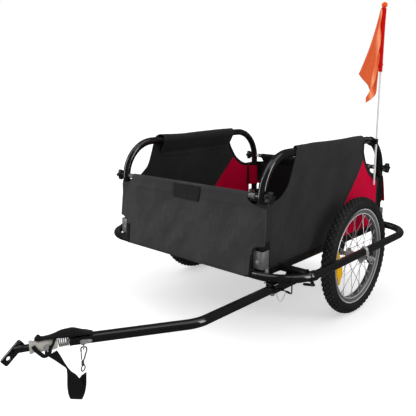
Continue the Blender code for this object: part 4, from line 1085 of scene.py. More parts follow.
def floor_piece():
    """Coated floor board with a bound edge and a fold line across its middle."""
    reach = RAIL_X - RAIL_HALF - 0.0006
    halves = [block((-reach, back, FLOOR_Z - 0.0040), (reach, front, FLOOR_Z), 0.0012)
              for back, front in ((-0.4295, -0.0615), (-0.0585, 0.3125))]
    halves.append(block((-reach + 0.001, -0.0640, FLOOR_Z - 0.0036),
                        (reach - 0.001, -0.0560, FLOOR_Z - 0.0016), 0.0003))
    replace("floor_panel", gather(*halves), "frame", FLOOR_CLOTH)
    edge = reach - 0.0014
    border = rounded([(x, y, FLOOR_Z - 0.0008) for x, y in (
        (-edge, -0.4280), (edge, -0.4280), (edge, 0.3110), (-edge, 0.3110))], 0.010, 6, True)
    seat("floor_binding", sweep(border, 0.0014, 8, True), "frame", BLACK_TRIM)
    bar_z = FLOOR_Z - 0.0043 - 0.008
    replace("floor_crossbar", bar((-reach, -0.06, bar_z), (reach, -0.06, bar_z), 0.008, 28),
            "frame", PAINT)


# Hoops, cross bars and knobs

def hoop(side, label):
    """Bent tube with its two legs."""
    x = side * HOOP_X
    route = rounded([(x, HOOP_FRONT_Y, LEG_END_Z), (x, HOOP_FRONT_Y, HOOP_TOP_Z),
                     (x, HOOP_REAR_Y, HOOP_TOP_Z), (x, HOOP_REAR_Y, LEG_END_Z)],
                    HOOP_CORNER_R, 20)
    replace("hoop_" + label, sweep(route, TUBE_R, 32), "hoop_arm_" + label, PAINT)


def cross_bar(leg_y, label):
    """Plated tube between the legs, its ends forked round the knob studs."""
    inward = -1 if leg_y > 0 else 1
    tube = bar((-BAR_HALF, leg_y, BAR_Z), (BAR_HALF, leg_y, BAR_Z), BAR_R, 32, 0.0008)
    slots = [block((side * (BAR_HALF - 0.015), leg_y - inward * 0.0034, BAR_Z - 0.0056),
                   (side * (BAR_HALF + 0.010), leg_y + inward * 0.0120, BAR_Z + 0.0056))
             for side in (1, -1)]
    replace("cross_bar_" + label, carve(tube, *slots), "gate_" + label, BAR_METAL)


def star_knob(side, leg_y, label):
    """Five-lobed knob with a dished face, a boss against the leg and its plated stud."""
    lobes = []
    for angle in turns(90):
        reach = 0.0155 + 0.0030 * cos(5 * angle)
        lobes.append((reach * cos(angle), reach * sin(angle)))
    star = soften(prism(lobes, 0.015), 0.0022, 4, 60)
    crown = [part for part in star.faces if part.calc_center_median().z > 0.0074]
    for share, sink in ((0.74, 0.0), (0.93, -0.0016)):
        grown = bmesh.ops.extrude_face_region(star, geom=crown)["geom"]
        bmesh.ops.delete(star, geom=crown, context='FACES_ONLY')
        crown = [part for part in grown if isinstance(part, bmesh.types.BMFace)]
        rim = [part for part in grown if isinstance(part, bmesh.types.BMVert)]
        bmesh.ops.scale(star, vec=(share, share, 1), verts=rim)
        bmesh.ops.translate(star, vec=(0, 0, sink), verts=rim)
    turn = aim(LEFT * side, (side * 0.3220, leg_y, BAR_Z))
    boss = turned([(0.0, 0.3070), (0.0084, 0.3070), (0.0088, 0.3078), (0.0096, 0.3150),
                   (0.0, 0.3150)], (0, leg_y, BAR_Z), LEFT * side, 32)
    body = "star_" + label
    cap = turned([(0.0, 0.0040), (0.0058, 0.0040), (0.0055, 0.0066), (0.0038, 0.0073),
                  (0.0, 0.0074)], steps=28)
    replace("knob_" + label, gather(placed(star, turn), boss, placed(cap, turn)), body, KNOB)
    stud = bar((side * 0.2665, leg_y, BAR_Z), (side * 0.3120, leg_y, BAR_Z), 0.0027, 20, 0.0004)
    seat("knob_stud_" + label, stud, body, ZINC)


# Wheels

TYRE_CENTRE_R = 0.1735
TYRE_BLOCKS = 60
SPOKES_A_SIDE = 14


def tyre_carcass(centre):
    """Tyre casing with two thin moulded lines on each wall, open over the rim."""
    outside = []
    for step in range(25):
        angle = radians(128 - 256 * step / 24)
        reach = 0.0212 + (0.0005 if step in (4, 6, 18, 20) else 0.0)
        outside.append((TYRE_CENTRE_R + reach * cos(angle), reach * sin(angle)))
    bead = 0.0112
    inside = [(0.1595, -bead), (0.1548, -bead), (0.1548, bead), (0.1595, bead)]
    return turned(outside + inside, centre, LEFT, 120, True)


def tread(centre):
    """Rows of tread blocks, each a tapered block that leans with the tyre's crown."""
    rows = [(0.0, 0.0, 0.0070, 0.0074, 0.0238)]
    for way in (1, -1):
        rows.append((way * 23.0, 0.5, 0.0064, 0.0066, 0.0237))
        rows.append((way * 47.0, 0.0, 0.0072, 0.0058, 0.0236))
    whole = bmesh.new()
    for lean, shift, length, width, top in rows:
        for index in range(TYRE_BLOCKS):
            made = bmesh.ops.create_cube(whole, size=1.0)["verts"]
            for vert in made:
                taper = 0.86 if vert.co.z > 0 else 1.1
                vert.co.x *= width * taper
                vert.co.y *= length * 1.35 * taper
                vert.co.z = top if vert.co.z > 0 else 0.0195
            around = tau * (index + shift) / TYRE_BLOCKS
            turn = (Matrix.Translation(centre) @ Matrix.Rotation(around, 4, 'X')
                    @ Matrix.Translation((0, 0, TYRE_CENTRE_R))
                    @ Matrix.Rotation(radians(lean), 4, 'Y'))
            bmesh.ops.transform(whole, matrix=turn, verts=made)
    return whole


def rim_shape(centre):
    """Rim with a well inside and a rounded lip on each side."""
    side = [(0.1598, 0.0124), (0.1594, 0.0131), (0.1580, 0.0133), (0.1568, 0.0127),
            (0.1555, 0.0124), (0.1500, 0.0124), (0.1432, 0.0098), (0.1410, 0.0060),
            (0.1404, 0.0)]
    inside = mirrored([(0.1598, -0.0116), (0.1540, -0.0112), (0.1524, 0.0)])
    return turned(mirrored(side) + inside, centre, LEFT, 120, True)


def spoke_ends(flange, index):
    """Hub hole and rim hole of one spoke in a crossed pattern."""
    pitch = tau / SPOKES_A_SIDE
    way = 1 if index % 2 else -1
    hub_angle = index * pitch + (0 if flange > 0 else pitch / 2)
    rim_angle = hub_angle + way * 2 * pitch
    hub_x = flange * (0.0243 + way * 0.0014)
    start = Vector((hub_x, 0.0190 * cos(hub_angle), 0.0190 * sin(hub_angle)))
    end = Vector((flange * 0.0030, 0.1402 * cos(rim_angle), 0.1402 * sin(rim_angle)))
    return start, end


def spokes(centre):
    """Crossed spokes with a head and an elbow at the flange and a nipple at the rim."""
    wires = []
    nipples = []
    for flange in (1, -1):
        for index in range(SPOKES_A_SIDE):
            start, end = spoke_ends(flange, index)
            outward = 1 if index % 2 else -1
            head = start - Vector((flange * outward * 0.0034, 0, 0))
            elbow = rounded([head, start, start.lerp(end, 0.93)], 0.0012, 3)
            wires.append(sweep([centre + place for place in elbow], 0.00095, 8))
            knob = bmesh.new()
            bmesh.ops.create_icosphere(knob, subdivisions=1, radius=0.0016)
            wires.append(placed(knob, Matrix.Translation(centre + head)))
            ahead = (end - start).normalized()
            nipples.append(bar(centre + end + ahead * 0.0012, centre + end - ahead * 0.0125,
                               0.0022, 10, 0.0003, 0.0016))
            radial = Vector((0, end.y, end.z)).normalized()
            nipples.append(bar(centre + end - radial * 0.0010, centre + end + radial * 0.0012,
                               0.0038, 14, 0.0004, 0.0034))
    return gather(*wires), gather(*nipples)


def hub_shape(centre):
    """Hollow hub with a flange at each end."""
    outer = [(0.0052, 0.0322), (0.0090, 0.0322), (0.0112, 0.0312), (0.0120, 0.0290),
             (0.0128, 0.0272), (0.0205, 0.0262), (0.0215, 0.0255), (0.0215, 0.0232),
             (0.0205, 0.0225), (0.0140, 0.0212), (0.0120, 0.0150), (0.0116, 0.0)]
    return turned(mirrored(outer), centre, LEFT, 64, True)


def valve(centre):
    """Tyre valve with its ridged cap, through the rim towards the hub."""
    out = Vector((0, cos(radians(140)), sin(radians(140))))
    stem = bar(centre + out * 0.1500, centre + out * 0.1290, 0.0034, 20, 0.0003)
    nut = hexagon(centre + out * 0.1402, centre + out * 0.1374, 0.0058)
    ridges = [(0.0, 0.0), (0.0040, 0.0), (0.0043, 0.0008), (0.0043, 0.0080), (0.0034, 0.0096),
              (0.0, 0.0098)]
    cap = turned(ridges, centre + out * 0.1300, -out, 24)
    return gather(stem, nut), cap


def reflector(centre, body, label):
    """Pointed amber lens clipped across the spokes, with a raised edge and two clips."""
    outline = []
    for edge in (1, -1):
        for step in range(24):
            part = (step / 24 - 0.5) * 2 * edge
            reach = 0.0115 if edge > 0 else 0.0225 * (1 - 0.35 * part)
            outline.append((part * 0.062, edge * reach * (1 - part * part)))
    radial = Vector((0, -0.108, -0.016)).normalized()
    tangent = Vector((0, radial.z, -radial.y))
    middle_point = centre + radial * 0.112
    lens = plate(outline, 0.0054, tangent, radial, middle_point, 0.0008)
    faces = sorted(lens.faces, key=lambda part: part.calc_area())[-2:]
    bmesh.ops.inset_individual(lens, faces=faces, thickness=0.0016, depth=0.0)
    bmesh.ops.inset_individual(lens, faces=faces, thickness=0.0005, depth=-0.0005)
    square = [(-0.0045, -0.007), (0.0045, -0.007), (0.0045, 0.007), (-0.0045, 0.007)]
    clips = [plate(square, 0.0074, tangent, radial, middle_point + tangent * reach, 0.0010)
             for reach in (-0.046, 0.046)]
    replace("spoke_reflector_" + label, lens, body, AMBER)
    seat("reflector_clips_" + label, gather(*clips), body, AMBER)


def wheel(side, label):
    """Tyre, rim with painted highlight rings on its lips, hub, spokes, valve and reflector."""
    centre = Vector((side * WHEEL_X, 0, AXLE_Z))
    body = "wheel_" + label
    replace("tyre_" + label, tyre_carcass(centre), body, RUBBER, crisp=50)
    seat("tyre_tread_" + label, tread(centre), body, TREAD_RUBBER, turn_out=False)
    replace("rim_" + label, rim_shape(centre), body, RIM_ALLOY)
    # Thin near-white rings on each lip paint the rim's highlights.
    edges = []
    for out in (1, -1):
        for radius, width, face in ((0.1582, 0.0021, 0.0129), (0.1434, 0.0015, 0.0099)):
            lip = [(radius - width, 0), (radius - width * 0.8, 0.0009), (radius, 0.0012),
                   (radius + width * 0.8, 0.0006), (radius + width, 0)]
            edges.append(turned(lip, centre + LEFT * out * face, (out, 0, 0), 120))
    seat("rim_highlight_rings_" + label, gather(*edges), body, RIM_HIGHLIGHT, turn_out=False)
    wires, nipples = spokes(centre)
    replace("wheel_hub_" + label, hub_shape(centre), body, ZINC)
    seat("spokes_" + label, wires, body, SPOKE_STEEL)
    seat("spoke_nipples_" + label, nipples, body, ZINC)
    stem, cap = valve(centre)
    seat("valve_" + label, stem, body, ZINC)
    seat("valve_cap_" + label, cap, body, KNOB)
    reflector(centre, body, label)


# Locks, drawbar and hitch

def guard_pin(side, label):
    """Lock pin pushed up through the socket, with its bent wire handle below."""
    x, y = loop_point(side, -10.5, FRONT_ARC_Y).xy
    z = 0.2055
    pin = bar((x, y, 0.2060), (x, y, 0.2470), 0.0029, 20, 0.0008)
    stop = bar((x, y, 0.2090), (x, y, 0.2130), 0.0050, 24, 0.0008)
    handle = sweep(rounded([(x + side * 0.010, y - 0.006, z), (x - side * 0.018, y - 0.019, z),
                            (x - side * 0.022, y - 0.009, z), (x + side * 0.004, y + 0.005, z)],
                           0.004, 6, True), 0.0021, 12, True)
    replace("guard_pin_" + label, gather(pin, stop), "guard_lock_" + label, PAINT)
    seat("guard_pin_ring_" + label, handle, "guard_lock_" + label, KNOB)


def drawbar_bracket():
    """Upside-down channel welded under the beam, which takes the drawbar's rear end."""
    x = DRAWBAR_X
    top = BEAM_Z - TUBE_R
    bracket = block((x - 0.0161, -0.448, 0.1925), (x + 0.0161, -0.342, top), 0.0016)
    hollow = block((x - 0.0130, -0.47, 0.180), (x + 0.0130, -0.32, DRAWBAR_Z + TUBE_R + 0.0003))
    bracket = soften(carve(bracket, hollow), 0.0004, 1, 60)
    pad = block((x - 0.010, OUTRIGGER_Y - 0.009, 0.2165), (x + 0.010, OUTRIGGER_Y + 0.009, 0.2262),
                0.0008)
    beads = [weld([Vector((x + side * 0.0161, -0.455 + 0.003 * step, top + 0.0004))
                   for step in range(8)], 0.0016) for side in (1, -1)]
    replace("drawbar_bracket", gather(bracket, pad, *beads), "frame", PAINT)
    seat("bracket_rivet", button_head((x - 0.0165, -0.425, 0.2070), (-1, 0, 0), 0.0030, 0.0018),
         "frame", ZINC)


def drawbar():
    """Bent tube with a plug in each end, the front one with a stud in the spring."""
    route = rounded([(DRAWBAR_X, -0.370, DRAWBAR_Z), DRAWBAR_BEND, DRAWBAR_TIP], 0.10, 14)
    tube = sweep(route, TUBE_R, 32)
    tail = (route[-1] - route[-2]).normalized()
    plug = turned([(0.0, -0.002), (0.0127, -0.002), (0.0130, -0.0012), (0.0130, 0.0010),
                   (0.0118, 0.0022), (0.0046, 0.0024), (0.0044, 0.0088), (0.0, 0.0090)],
                  DRAWBAR_TIP, tail, 32)
    rear_plug = turned([(0.0, 0.0), (0.0127, 0.0), (0.0127, 0.0012), (0.0112, 0.0024),
                        (0.0, 0.0026)], (DRAWBAR_X, -0.370, DRAWBAR_Z), (0, 1, 0), 32)
    replace("drawbar", tube, "frame", PAINT)
    seat("drawbar_plugs", gather(plug, rear_plug), "frame", KNOB)


def drawbar_bolt():
    """Upright bolt through bracket and drawbar, its nut below."""
    x, y = DRAWBAR_X, -0.4375
    low = DRAWBAR_Z - TUBE_R
    parts = [bar((x, y, low - 0.001), (x, y, 0.2170), 0.0039, 24),
             threaded((x, y, low - 0.0065), (x, y, low - 0.0090), 0.0039),
             bar((x, y, 0.2150), (x, y, 0.2181), 0.0040, 24, 0.0, 0.0070),
             hexagon((x, y, low - 0.0012), (x, y, low - 0.0068), 0.0074),
             bar((x, y, low - 0.0012), (x, y, low - 0.0001), 0.0085, 32, 0.0002)]
    replace("drawbar_bolt", gather(*parts), "frame", ZINC)


def drawbar_pin():
    """Quick-release pin with a gripped wire that clips up beside the beam."""
    x, y = DRAWBAR_X, -0.388
    start = Vector((x, y, 0.1830))
    far = Vector((0.3975, -0.4205, 0.1945))
    tip = Vector((0.3975, -0.4205, 0.2450))
    pin = bar((x, y, 0.1805), (x, y, 0.2290), 0.0039, 24, 0.0008)
    wire = wire_shape(rounded([start, far, tip], 0.006, 8), 0.0019, 12)
    grip = turned([(0.0, 0.0), (0.0026, 0.0), (0.0033, 0.0010), (0.0033, 0.0210),
                   (0.0026, 0.0222), (0.0, 0.0222)], start.lerp(far, 0.42), far - start, 20)
    replace("drawbar_pin", pin, "drawbar_lock", PAINT)
    seat("drawbar_pin_grip", gather(wire, grip), "drawbar_lock", KNOB)


def pin_lanyard():
    """Thin wire that ties the drawbar pin to its bracket."""
    start = Vector((0.3270, -0.400, 0.1890))
    sag = Vector((0.3480, -0.4080, 0.1250))
    end = Vector((0.3660, -0.4060, 0.1838))
    route = [start.lerp(sag, step / 24).lerp(sag.lerp(end, step / 24), step / 24)
             for step in range(25)]
    made = replace("pin_lanyard", sweep(route, 0.0008, 10), "frame", ZINC)
    lengths_along(route)[-1]


def hitch_point(distance):
    """Point on the hitch's axis, a distance ahead of the drawbar's end."""
    return DRAWBAR_TIP + HITCH * distance


def hitch_spring():
    """Open coil between tube and coupling, in two halves that part at a full turn."""
    wire_r, coil_r = 0.0015, 0.0100
    start, length = 0.0025, 0.0225
    coils, per_coil = 5, 24
    route = []
    for step in range(coils * per_coil + 1):
        angle = tau * step / per_coil
        turn = ACROSS * cos(angle) + UP * sin(angle)
        route.append(hitch_point(start + length * step / (coils * per_coil)) + turn * coil_r)
    route.insert(0, route[0] - UP * 2 * wire_r)
    route.append(route[-1] + UP * 2 * wire_r)
    half = len(route) // 2
    rear = replace("hitch_spring", sweep(route[:half + 1], wire_r, 12), None, ZINC)
    front = seat("hitch_spring_front", sweep(route[half:], wire_r, 12), None, ZINC)
    bend(rear, "frame", "hitch_flex", hitch_point(0.001), hitch_point(0.0125))
    bend(front, "hitch_flex", "hitch_block", hitch_point(0.0150), hitch_point(0.0265))


def coupling():
    """Nylon block with a ribbed waist, a front flange and a bore for the hitch rod."""
    profile = [(0.0, 0.0285), (0.0106, 0.0285), (0.0122, 0.0292), (0.0138, 0.0380),
               (0.0138, 0.0445), (0.0130, 0.0450), (0.0130, 0.0462), (0.0138, 0.0467),
               (0.0138, 0.0752), (0.0131, 0.0772), (0.0128, 0.0778), (0.0128, 0.0806),
               (0.0138, 0.0812), (0.0146, 0.0822), (0.0146, 0.0868), (0.0140, 0.0878),
               (0.0092, 0.0880), (0.0084, 0.0872), (0.0084, 0.0655), (0.0, 0.0655)]
    replace("coupling", turned(profile, DRAWBAR_TIP, HITCH), "hitch_block", CREAM)

    def at(reach):
        return hitch_point(0.052) + ACROSS * reach

    parts = [hexagon(at(-0.0139), at(-0.0173), 0.0050), hexagon(at(0.0139), at(0.0172), 0.0050),
             bar(at(-0.0131), at(-0.0145), 0.0066, 28), bar(at(0.0131), at(0.0145), 0.0066, 28),
             bar(at(-0.0147), at(0.0185), 0.0024, 20, 0.0003)]
    replace("coupling_bolt", gather(*parts), "hitch_block", ZINC)


def hitch_bar():
    """Turning rod welded to the drilled plate that bolts behind the bicycle's axle nut."""
    plate_x = 0.1375
    top = Vector((plate_x, -1.0745, 0.2110))
    foot = Vector((plate_x, -1.1215, 0.1765))
    up = (top - foot).normalized()
    length = (top - foot).length
    half = 0.0105
    outline = [place.xy for place in rounded(
        [(-half, 0, 0), (half, 0, 0), (half, length, 0), (-half, length, 0)], 0.0045, 6, True)]
    board = plate(outline, 0.0058, up.cross(LEFT), up, foot, 0.0009, (0.0, 0.0150, 0.0050))
    rod = carve(bar(hitch_point(0.0660), hitch_point(0.1190), 0.0079, 32, 0.0006),
                block((0.10, -1.16, 0.15), (plate_x - 0.0027, -1.0, 0.25)))
    middle_y = hitch_point(0.1145).y + 0.0020
    bead = weld([Vector((plate_x + 0.0034, middle_y + 0.0092 * cos(angle),
                         DRAWBAR_Z + 0.0084 * sin(angle))) for angle in turns(20)],
                0.0013, True)
    replace("hitch_bar", gather(rod, board, bead), "hitch_head", PAINT)


# Side fabric. A point on the flat cloth is (y, rise): rise goes up the wall, over the hoop
# and down inside, and y goes round both legs.

WALL_X = 0.3080
WRAP_R = 0.0136
WALL_LOW_Z = 0.2486
SEAM_Z = 0.514
TOP_TURN = radians(210)
LEG_TURN = radians(242)
TOP_REACH = 0.0487
LEG_REACH = 0.0215
TOP_SLACK = 0.0080
TAPE_Y = 0.2485
TAPE_END_Y = 0.3068
SLEEVE_LOW = 0.324
FINE = 0.0028
COARSE = 0.009
CLOTH_THICKNESS = 0.0012
FRONT_SLEEVE_TOP = 0.434
REAR_SLEEVE_TOP = 0.421


def around(distance, turn, straight):
    """Outward and forward place of cloth wrapped on a tube, a distance past its flank.

    The cloth lies on the tube for a turn, then runs straight back to the wall and on.
    """
    angle = min(distance / WRAP_R, turn)
    place = Vector((cos(angle), sin(angle))) * WRAP_R
    past = max(distance - WRAP_R * turn, 0.0)
    place += Vector((-sin(turn), cos(turn))) * min(past, straight)
    place.y -= max(past - straight, 0.0)
    return place


def billow(y, z):
    """How far the wall stands out of its plane: soft diagonal folds that die at its edges."""
    edge = ramp(z, 0.252, 0.285) * (1 - ramp(z, 0.525, 0.552))
    edge *= ramp(y, -0.400, -0.350) * (1 - ramp(y, 0.215, 0.270))
    fold = noise.noise(Vector((y * 7.0 + z * 5.0, (z - y) * 3.2, 1.7)))
    crease = noise.noise(Vector((y * 16.0 - z * 13.0, (y + z) * 5.0, 6.1)))
    return edge * (0.0034 * fold + 0.0013 * crease - 0.0008)


def side_place(side, y, rise):
    """Where a point of the side cloth lies, from its flat place on the cloth."""
    x = WALL_X
    z = rise
    if rise > HOOP_TOP_Z:
        slack = TOP_SLACK * (0.78 + 0.5 * noise.noise(Vector((y * 9.0, side * 3.1, 0.4))))
        slack *= 1 - 0.35 * ramp(y, -0.28, -0.20)
        run = rise - HOOP_TOP_Z
        half_turn = WRAP_R * pi
        if run > 2 * slack + half_turn:
            out, up = around(run - 2 * slack, TOP_TURN, TOP_REACH)
        elif run > slack + half_turn:
            out, up = -WRAP_R, 2 * slack + half_turn - run
        else:
            out, up = around(max(run - slack, 0.0), TOP_TURN, TOP_REACH)
            up += min(run, slack)
        x, z = HOOP_X + out, HOOP_TOP_Z + up
    elif y < HOOP_FRONT_Y:
        out, ahead = around(HOOP_FRONT_Y - y, LEG_TURN, LEG_REACH)
        x, y = HOOP_X + out, HOOP_FRONT_Y - ahead
    elif y > HOOP_REAR_Y:
        out, behind = around(y - HOOP_REAR_Y, LEG_TURN, LEG_REACH)
        x, y = HOOP_X + out, HOOP_REAR_Y + behind
    else:
        near_tube = max(ramp(rise, 0.53, HOOP_TOP_Z), 1 - ramp(y, HOOP_FRONT_Y, -0.405),
                        ramp(y, 0.275, HOOP_REAR_Y))
        x = WALL_X - 0.0004 * near_tube + billow(y, rise) * (1 - near_tube)
    return Vector((side * x, y, z))


WRAP_END = HOOP_TOP_Z + WRAP_R * TOP_TURN + TOP_REACH + 0.008 + 2 * TOP_SLACK
LEG_END = WRAP_R * LEG_TURN + LEG_REACH + 0.006
FRONT_LIP_Y = HOOP_FRONT_Y - LEG_END
REAR_LIP_Y = HOOP_REAR_Y + LEG_END
FRONT_HOLE = [(-0.283, HOOP_TOP_Z), (-0.284, 0.556), (-0.291, 0.536), (-0.3045, 0.500),
              (-0.3185, 0.4725), (-0.338, 0.455), (-0.357, 0.442), (-0.381, 0.4355),
              (-0.400, 0.4340), (-0.426, 0.4340)]
REAR_HOLE = [(0.137, HOOP_TOP_Z), (0.140, 0.532), (0.147, 0.510), (0.160, 0.488),
             (0.178, 0.464), (0.1995, 0.4456), (0.229, 0.429), (0.254, 0.422), (0.270, 0.4212),
             (0.296, 0.4210)]
FRONT_END = [(-0.256, WRAP_END), (-0.256, 0.622), (-0.259, 0.602), (-0.267, 0.586),
             (-0.277, 0.573)] + FRONT_HOLE
RED_EDGES = {1: (0.0683, 0.4149, 1.15), -1: (0.1131, 0.4088, 0.90)}


def hole_edge(points):
    """Smooth (y, rise) edge of a hand hole, closely spaced."""
    return smooth_rows(points, 5)


def side_outline():
    """The cut cloth, anticlockwise seen from its own side."""
    rear = hole_edge(REAR_HOLE)[::-1]
    low = [(FRONT_LIP_Y, FRONT_SLEEVE_TOP), (FRONT_LIP_Y, SLEEVE_LOW), (-0.405, SLEEVE_LOW),
           (-0.405, WALL_LOW_Z + 0.006), (-0.4035, WALL_LOW_Z + 0.0015), (-0.399, WALL_LOW_Z),
           (0.270, WALL_LOW_Z), (0.2748, WALL_LOW_Z + 0.005), (0.275, SLEEVE_LOW),
           (REAR_LIP_Y, SLEEVE_LOW), (REAR_LIP_Y, REAR_SLEEVE_TOP)]
    return hole_edge(FRONT_END) + low + rear + [(rear[-1][0], WRAP_END)]


def divide(shape, place, normal):
    """Split a flat cloth's faces along the line through a place, square to a normal."""
    bmesh.ops.bisect_plane(shape, geom=shape.verts[:] + shape.edges[:] + shape.faces[:],
                           dist=0.00001, plane_co=place, plane_no=normal)


def sliced(outline, across_lines, up_lines):
    """Flat cloth cut to an outline and divided along the given lines."""
    shape = bmesh.new()
    shape.faces.new([shape.verts.new((a, b, 0)) for a, b in outline])
    for line in across_lines:
        divide(shape, (line, 0, 0), (1, 0, 0))
    for line in up_lines:
        divide(shape, (0, line, 0), (0, 1, 0))
    return shape


def spaced(low, high, gap):
    """Even places from low to high, about a gap apart."""
    count = max(1, round((high - low) / gap))
    return [low + (high - low) * step / count for step in range(count + 1)]


def fold_cloth(shape, place, thickness=None):
    """Keep each vertex's flat place for the weave, then carry it to where the cloth lies."""
    flat = shape.verts.layers.float_vector.new("cloth")
    for vert in shape.verts:
        vert[flat] = (vert.co.x, vert.co.y, 0.0)
        vert.co = place(vert.co.x, vert.co.y)
    if thickness:
        bmesh.ops.solidify(shape, geom=shape.faces[:], thickness=thickness)
    return shape


def red_edge_y(side, rise):
    """Where the slanting seam lies at a rise; behind it the cloth is red."""
    edge_y, edge_z, slope = RED_EDGES[side]
    return edge_y + (rise - edge_z) / slope


def hinge_hem(piece, label):
    """Hand a side's cloth to bend() with the frame and its hoop; it is only baked in place."""
    bend(piece, "frame", "hoop_arm_" + label, (0, 0, 0.250), (0, 0, 0.290))


def sheet_area(shape, size):
    """Area of a laid cloth, no more than its flat size allows."""
    return min(sum(face.calc_area() for face in shape.faces), size[0] * size[1])


def side_cloth(side, label):
    """Black side wall with its sleeves and, behind a slanting seam, the red corner."""
    across = (spaced(FRONT_LIP_Y, HOOP_FRONT_Y, FINE) + spaced(HOOP_FRONT_Y, HOOP_REAR_Y, COARSE)
              + spaced(HOOP_REAR_Y, REAR_LIP_Y, FINE))
    up = spaced(WALL_LOW_Z, 0.552, COARSE) + spaced(0.552, WRAP_END, FINE)
    edge_y, edge_z, slope = RED_EDGES[side]
    for finish, name, red, size in ((BLACK_CLOTH, "side_wall_", False, (0.86, 0.42)),
                                    (RED_CLOTH, "side_corner_", True, (0.42, 0.30))):
        shape = sliced(side_outline(), across, up)
        divide(shape, (edge_y, edge_z, 0), (slope, -1, 0))
        middles = [(face, face.calc_center_median()) for face in shape.faces]
        spare = [face for face, at in middles if (at.x > red_edge_y(side, at.y)) != red]
        bmesh.ops.delete(shape, geom=spare, context='FACES')
        fold_cloth(shape, partial(side_place, side))
        area = sheet_area(shape, size)
        made = seat(name + label, shape, None, finish, "side_panel_" + label, crisp=80)
        thicken(made, CLOTH_THICKNESS)
        hinge_hem(made, label)


def edge_strip(path, width, place):
    """Flat strip of the cloth's own surface beside a path."""
    path = [Vector(spot) for spot in path]

    def lay(u, row):
        ahead = (path[min(row + 1, len(path) - 1)] - path[max(row - 1, 0)]).normalized()
        return place(*(path[row] + Vector((-ahead.y, ahead.x)) * width * u))

    return cloth(3, width, lengths_along(path), lay)


def stitches(path, place, lift):
    """Row of raised stitches along a flat path of the cloth; lift is their way out of it."""
    path = [Vector(spot) for spot in path]
    radius = 0.00035
    whole = bmesh.new()
    for first, second in zip(path, path[1:]):
        count = max(1, round((second - first).length / 0.0042))
        for step in range(count):
            start = first.lerp(second, (step + 0.14) / count)
            end = first.lerp(second, (step + 0.86) / count)
            low = place(*start) + lift
            high = place(*end) + lift
            made = bmesh.ops.create_icosphere(whole, subdivisions=1, radius=1.0)["verts"]
            scale = Matrix.Diagonal((radius, radius, (high - low).length / 2, 1))
            bmesh.ops.transform(whole, matrix=aim(high - low, (low + high) / 2) @ scale,
                                verts=made)
    return whole


def evenly(path, count):
    """Count + 1 points evenly along a path."""
    path = [Vector(spot) for spot in path]
    run = lengths_along(path)
    stops = [run[-1] * index / count for index in range(1, count)]
    result = []
    for first, second, start, end in zip(path, path[1:], run, run[1:]):
        while stops and end >= stops[0]:
            result.append(first.lerp(second, (stops.pop(0) - start) / (end - start)))
    return [path[0]] + result + [path[-1]]


def patch_of(low_a, high_a, low_b, high_b, gap_a=FINE, gap_b=COARSE):
    """Flat rectangle of cloth between two places across and two places up."""
    return sliced([(low_a, low_b), (high_a, low_b), (high_a, high_b), (low_a, high_b)],
                  spaced(low_a, high_a, gap_a), spaced(low_b, high_b, gap_b))


def side_trim(side, label):
    """Bound hand-hole edges, double seams and the stitched lower hem."""
    body = "hoop_arm_" + label
    place = partial(side_place, side)
    out = LEFT * side * 0.0008
    front = hole_edge(FRONT_HOLE)
    rear = hole_edge(REAR_HOLE)
    facing = edge_strip(evenly(hole_edge(FRONT_END), 110), 0.0085, place)
    thicken(seat("side_facing_" + label, facing, body, BLACK_CLOTH, crisp=60), 0.0024)
    rear_edge = [(REAR_LIP_Y - 0.001, REAR_SLEEVE_TOP)] + rear[::-1]
    binding = edge_strip(evenly(rear_edge, 110), 0.0125, place)
    thicken(seat("side_binding_" + label, binding, body, BLACK_TRIM, crisp=60), 0.0024)

    def tape_place(y, rise):
        return place(y, rise) + LEFT * side * 0.0010 + BACK * 0.0009 * ramp(
            y, HOOP_REAR_Y, TAPE_END_Y)

    def inner_place(y, rise):
        return place(y, rise) - LEFT * side * 0.0034

    tapes = [fold_cloth(patch_of(*bounds), lie, thickness) for bounds, lie, thickness in (
        ((TAPE_Y, 0.2745, WALL_LOW_Z + 0.0004, SLEEVE_LOW), tape_place, 0.0005),
        ((TAPE_Y, TAPE_END_Y, SLEEVE_LOW + 0.0003, REAR_SLEEVE_TOP + 0.0012), tape_place, 0.0005),
        ((0.2605, 0.2722, SLEEVE_LOW + 0.006, 0.4080), inner_place, 0.0006))]
    hinge_hem(seat("side_tape_" + label, gather(*tapes), None, BLACK_TRIM, crisp=60), label)
    paths = [[(y, low), (y, top)] for y, top, low in (
        (-0.4045, 0.4300, SLEEVE_LOW + 0.002), (-0.4010, 0.4300, SLEEVE_LOW),
        (0.2745, 0.4180, SLEEVE_LOW + 0.002), (0.2710, 0.4180, SLEEVE_LOW))]
    paths += [[(-0.288, z), (0.146, z)] for z in (SEAM_Z, SEAM_Z - 0.0036)]
    paths += [[(y + 0.0102 * first, z + 0.0102 * second) for y, z in evenly(edge[6:-8], 36)]
              for edge, first, second in ((front, 1.0, -0.55), (rear, -0.9, -0.6))]
    seams = [stitches(path, place, out) for path in paths]
    seat("side_seams_" + label, gather(*seams), body, THREAD, turn_out=False)
    hem = WALL_LOW_Z + 0.0090
    paths = [[(-0.398, hem), (0.268, hem)]]
    paths += [[(red_edge_y(side, z) - shift, z) for z in (0.262, 0.466)] for shift in (0.003, 0.006)]
    lower = [stitches(path, place, out) for path in paths]
    hinge_hem(seat("side_lower_seams_" + label, gather(*lower), None, THREAD, turn_out=False), label)


# End walls

BAR_WRAP_R = 0.0094
BAR_TURN = radians(200)
END_LOW_Z = 0.2232
SLOPE_Z = 0.2225
TUCK_Z = 0.425
FRONT_LEG_GAP = 0.0153


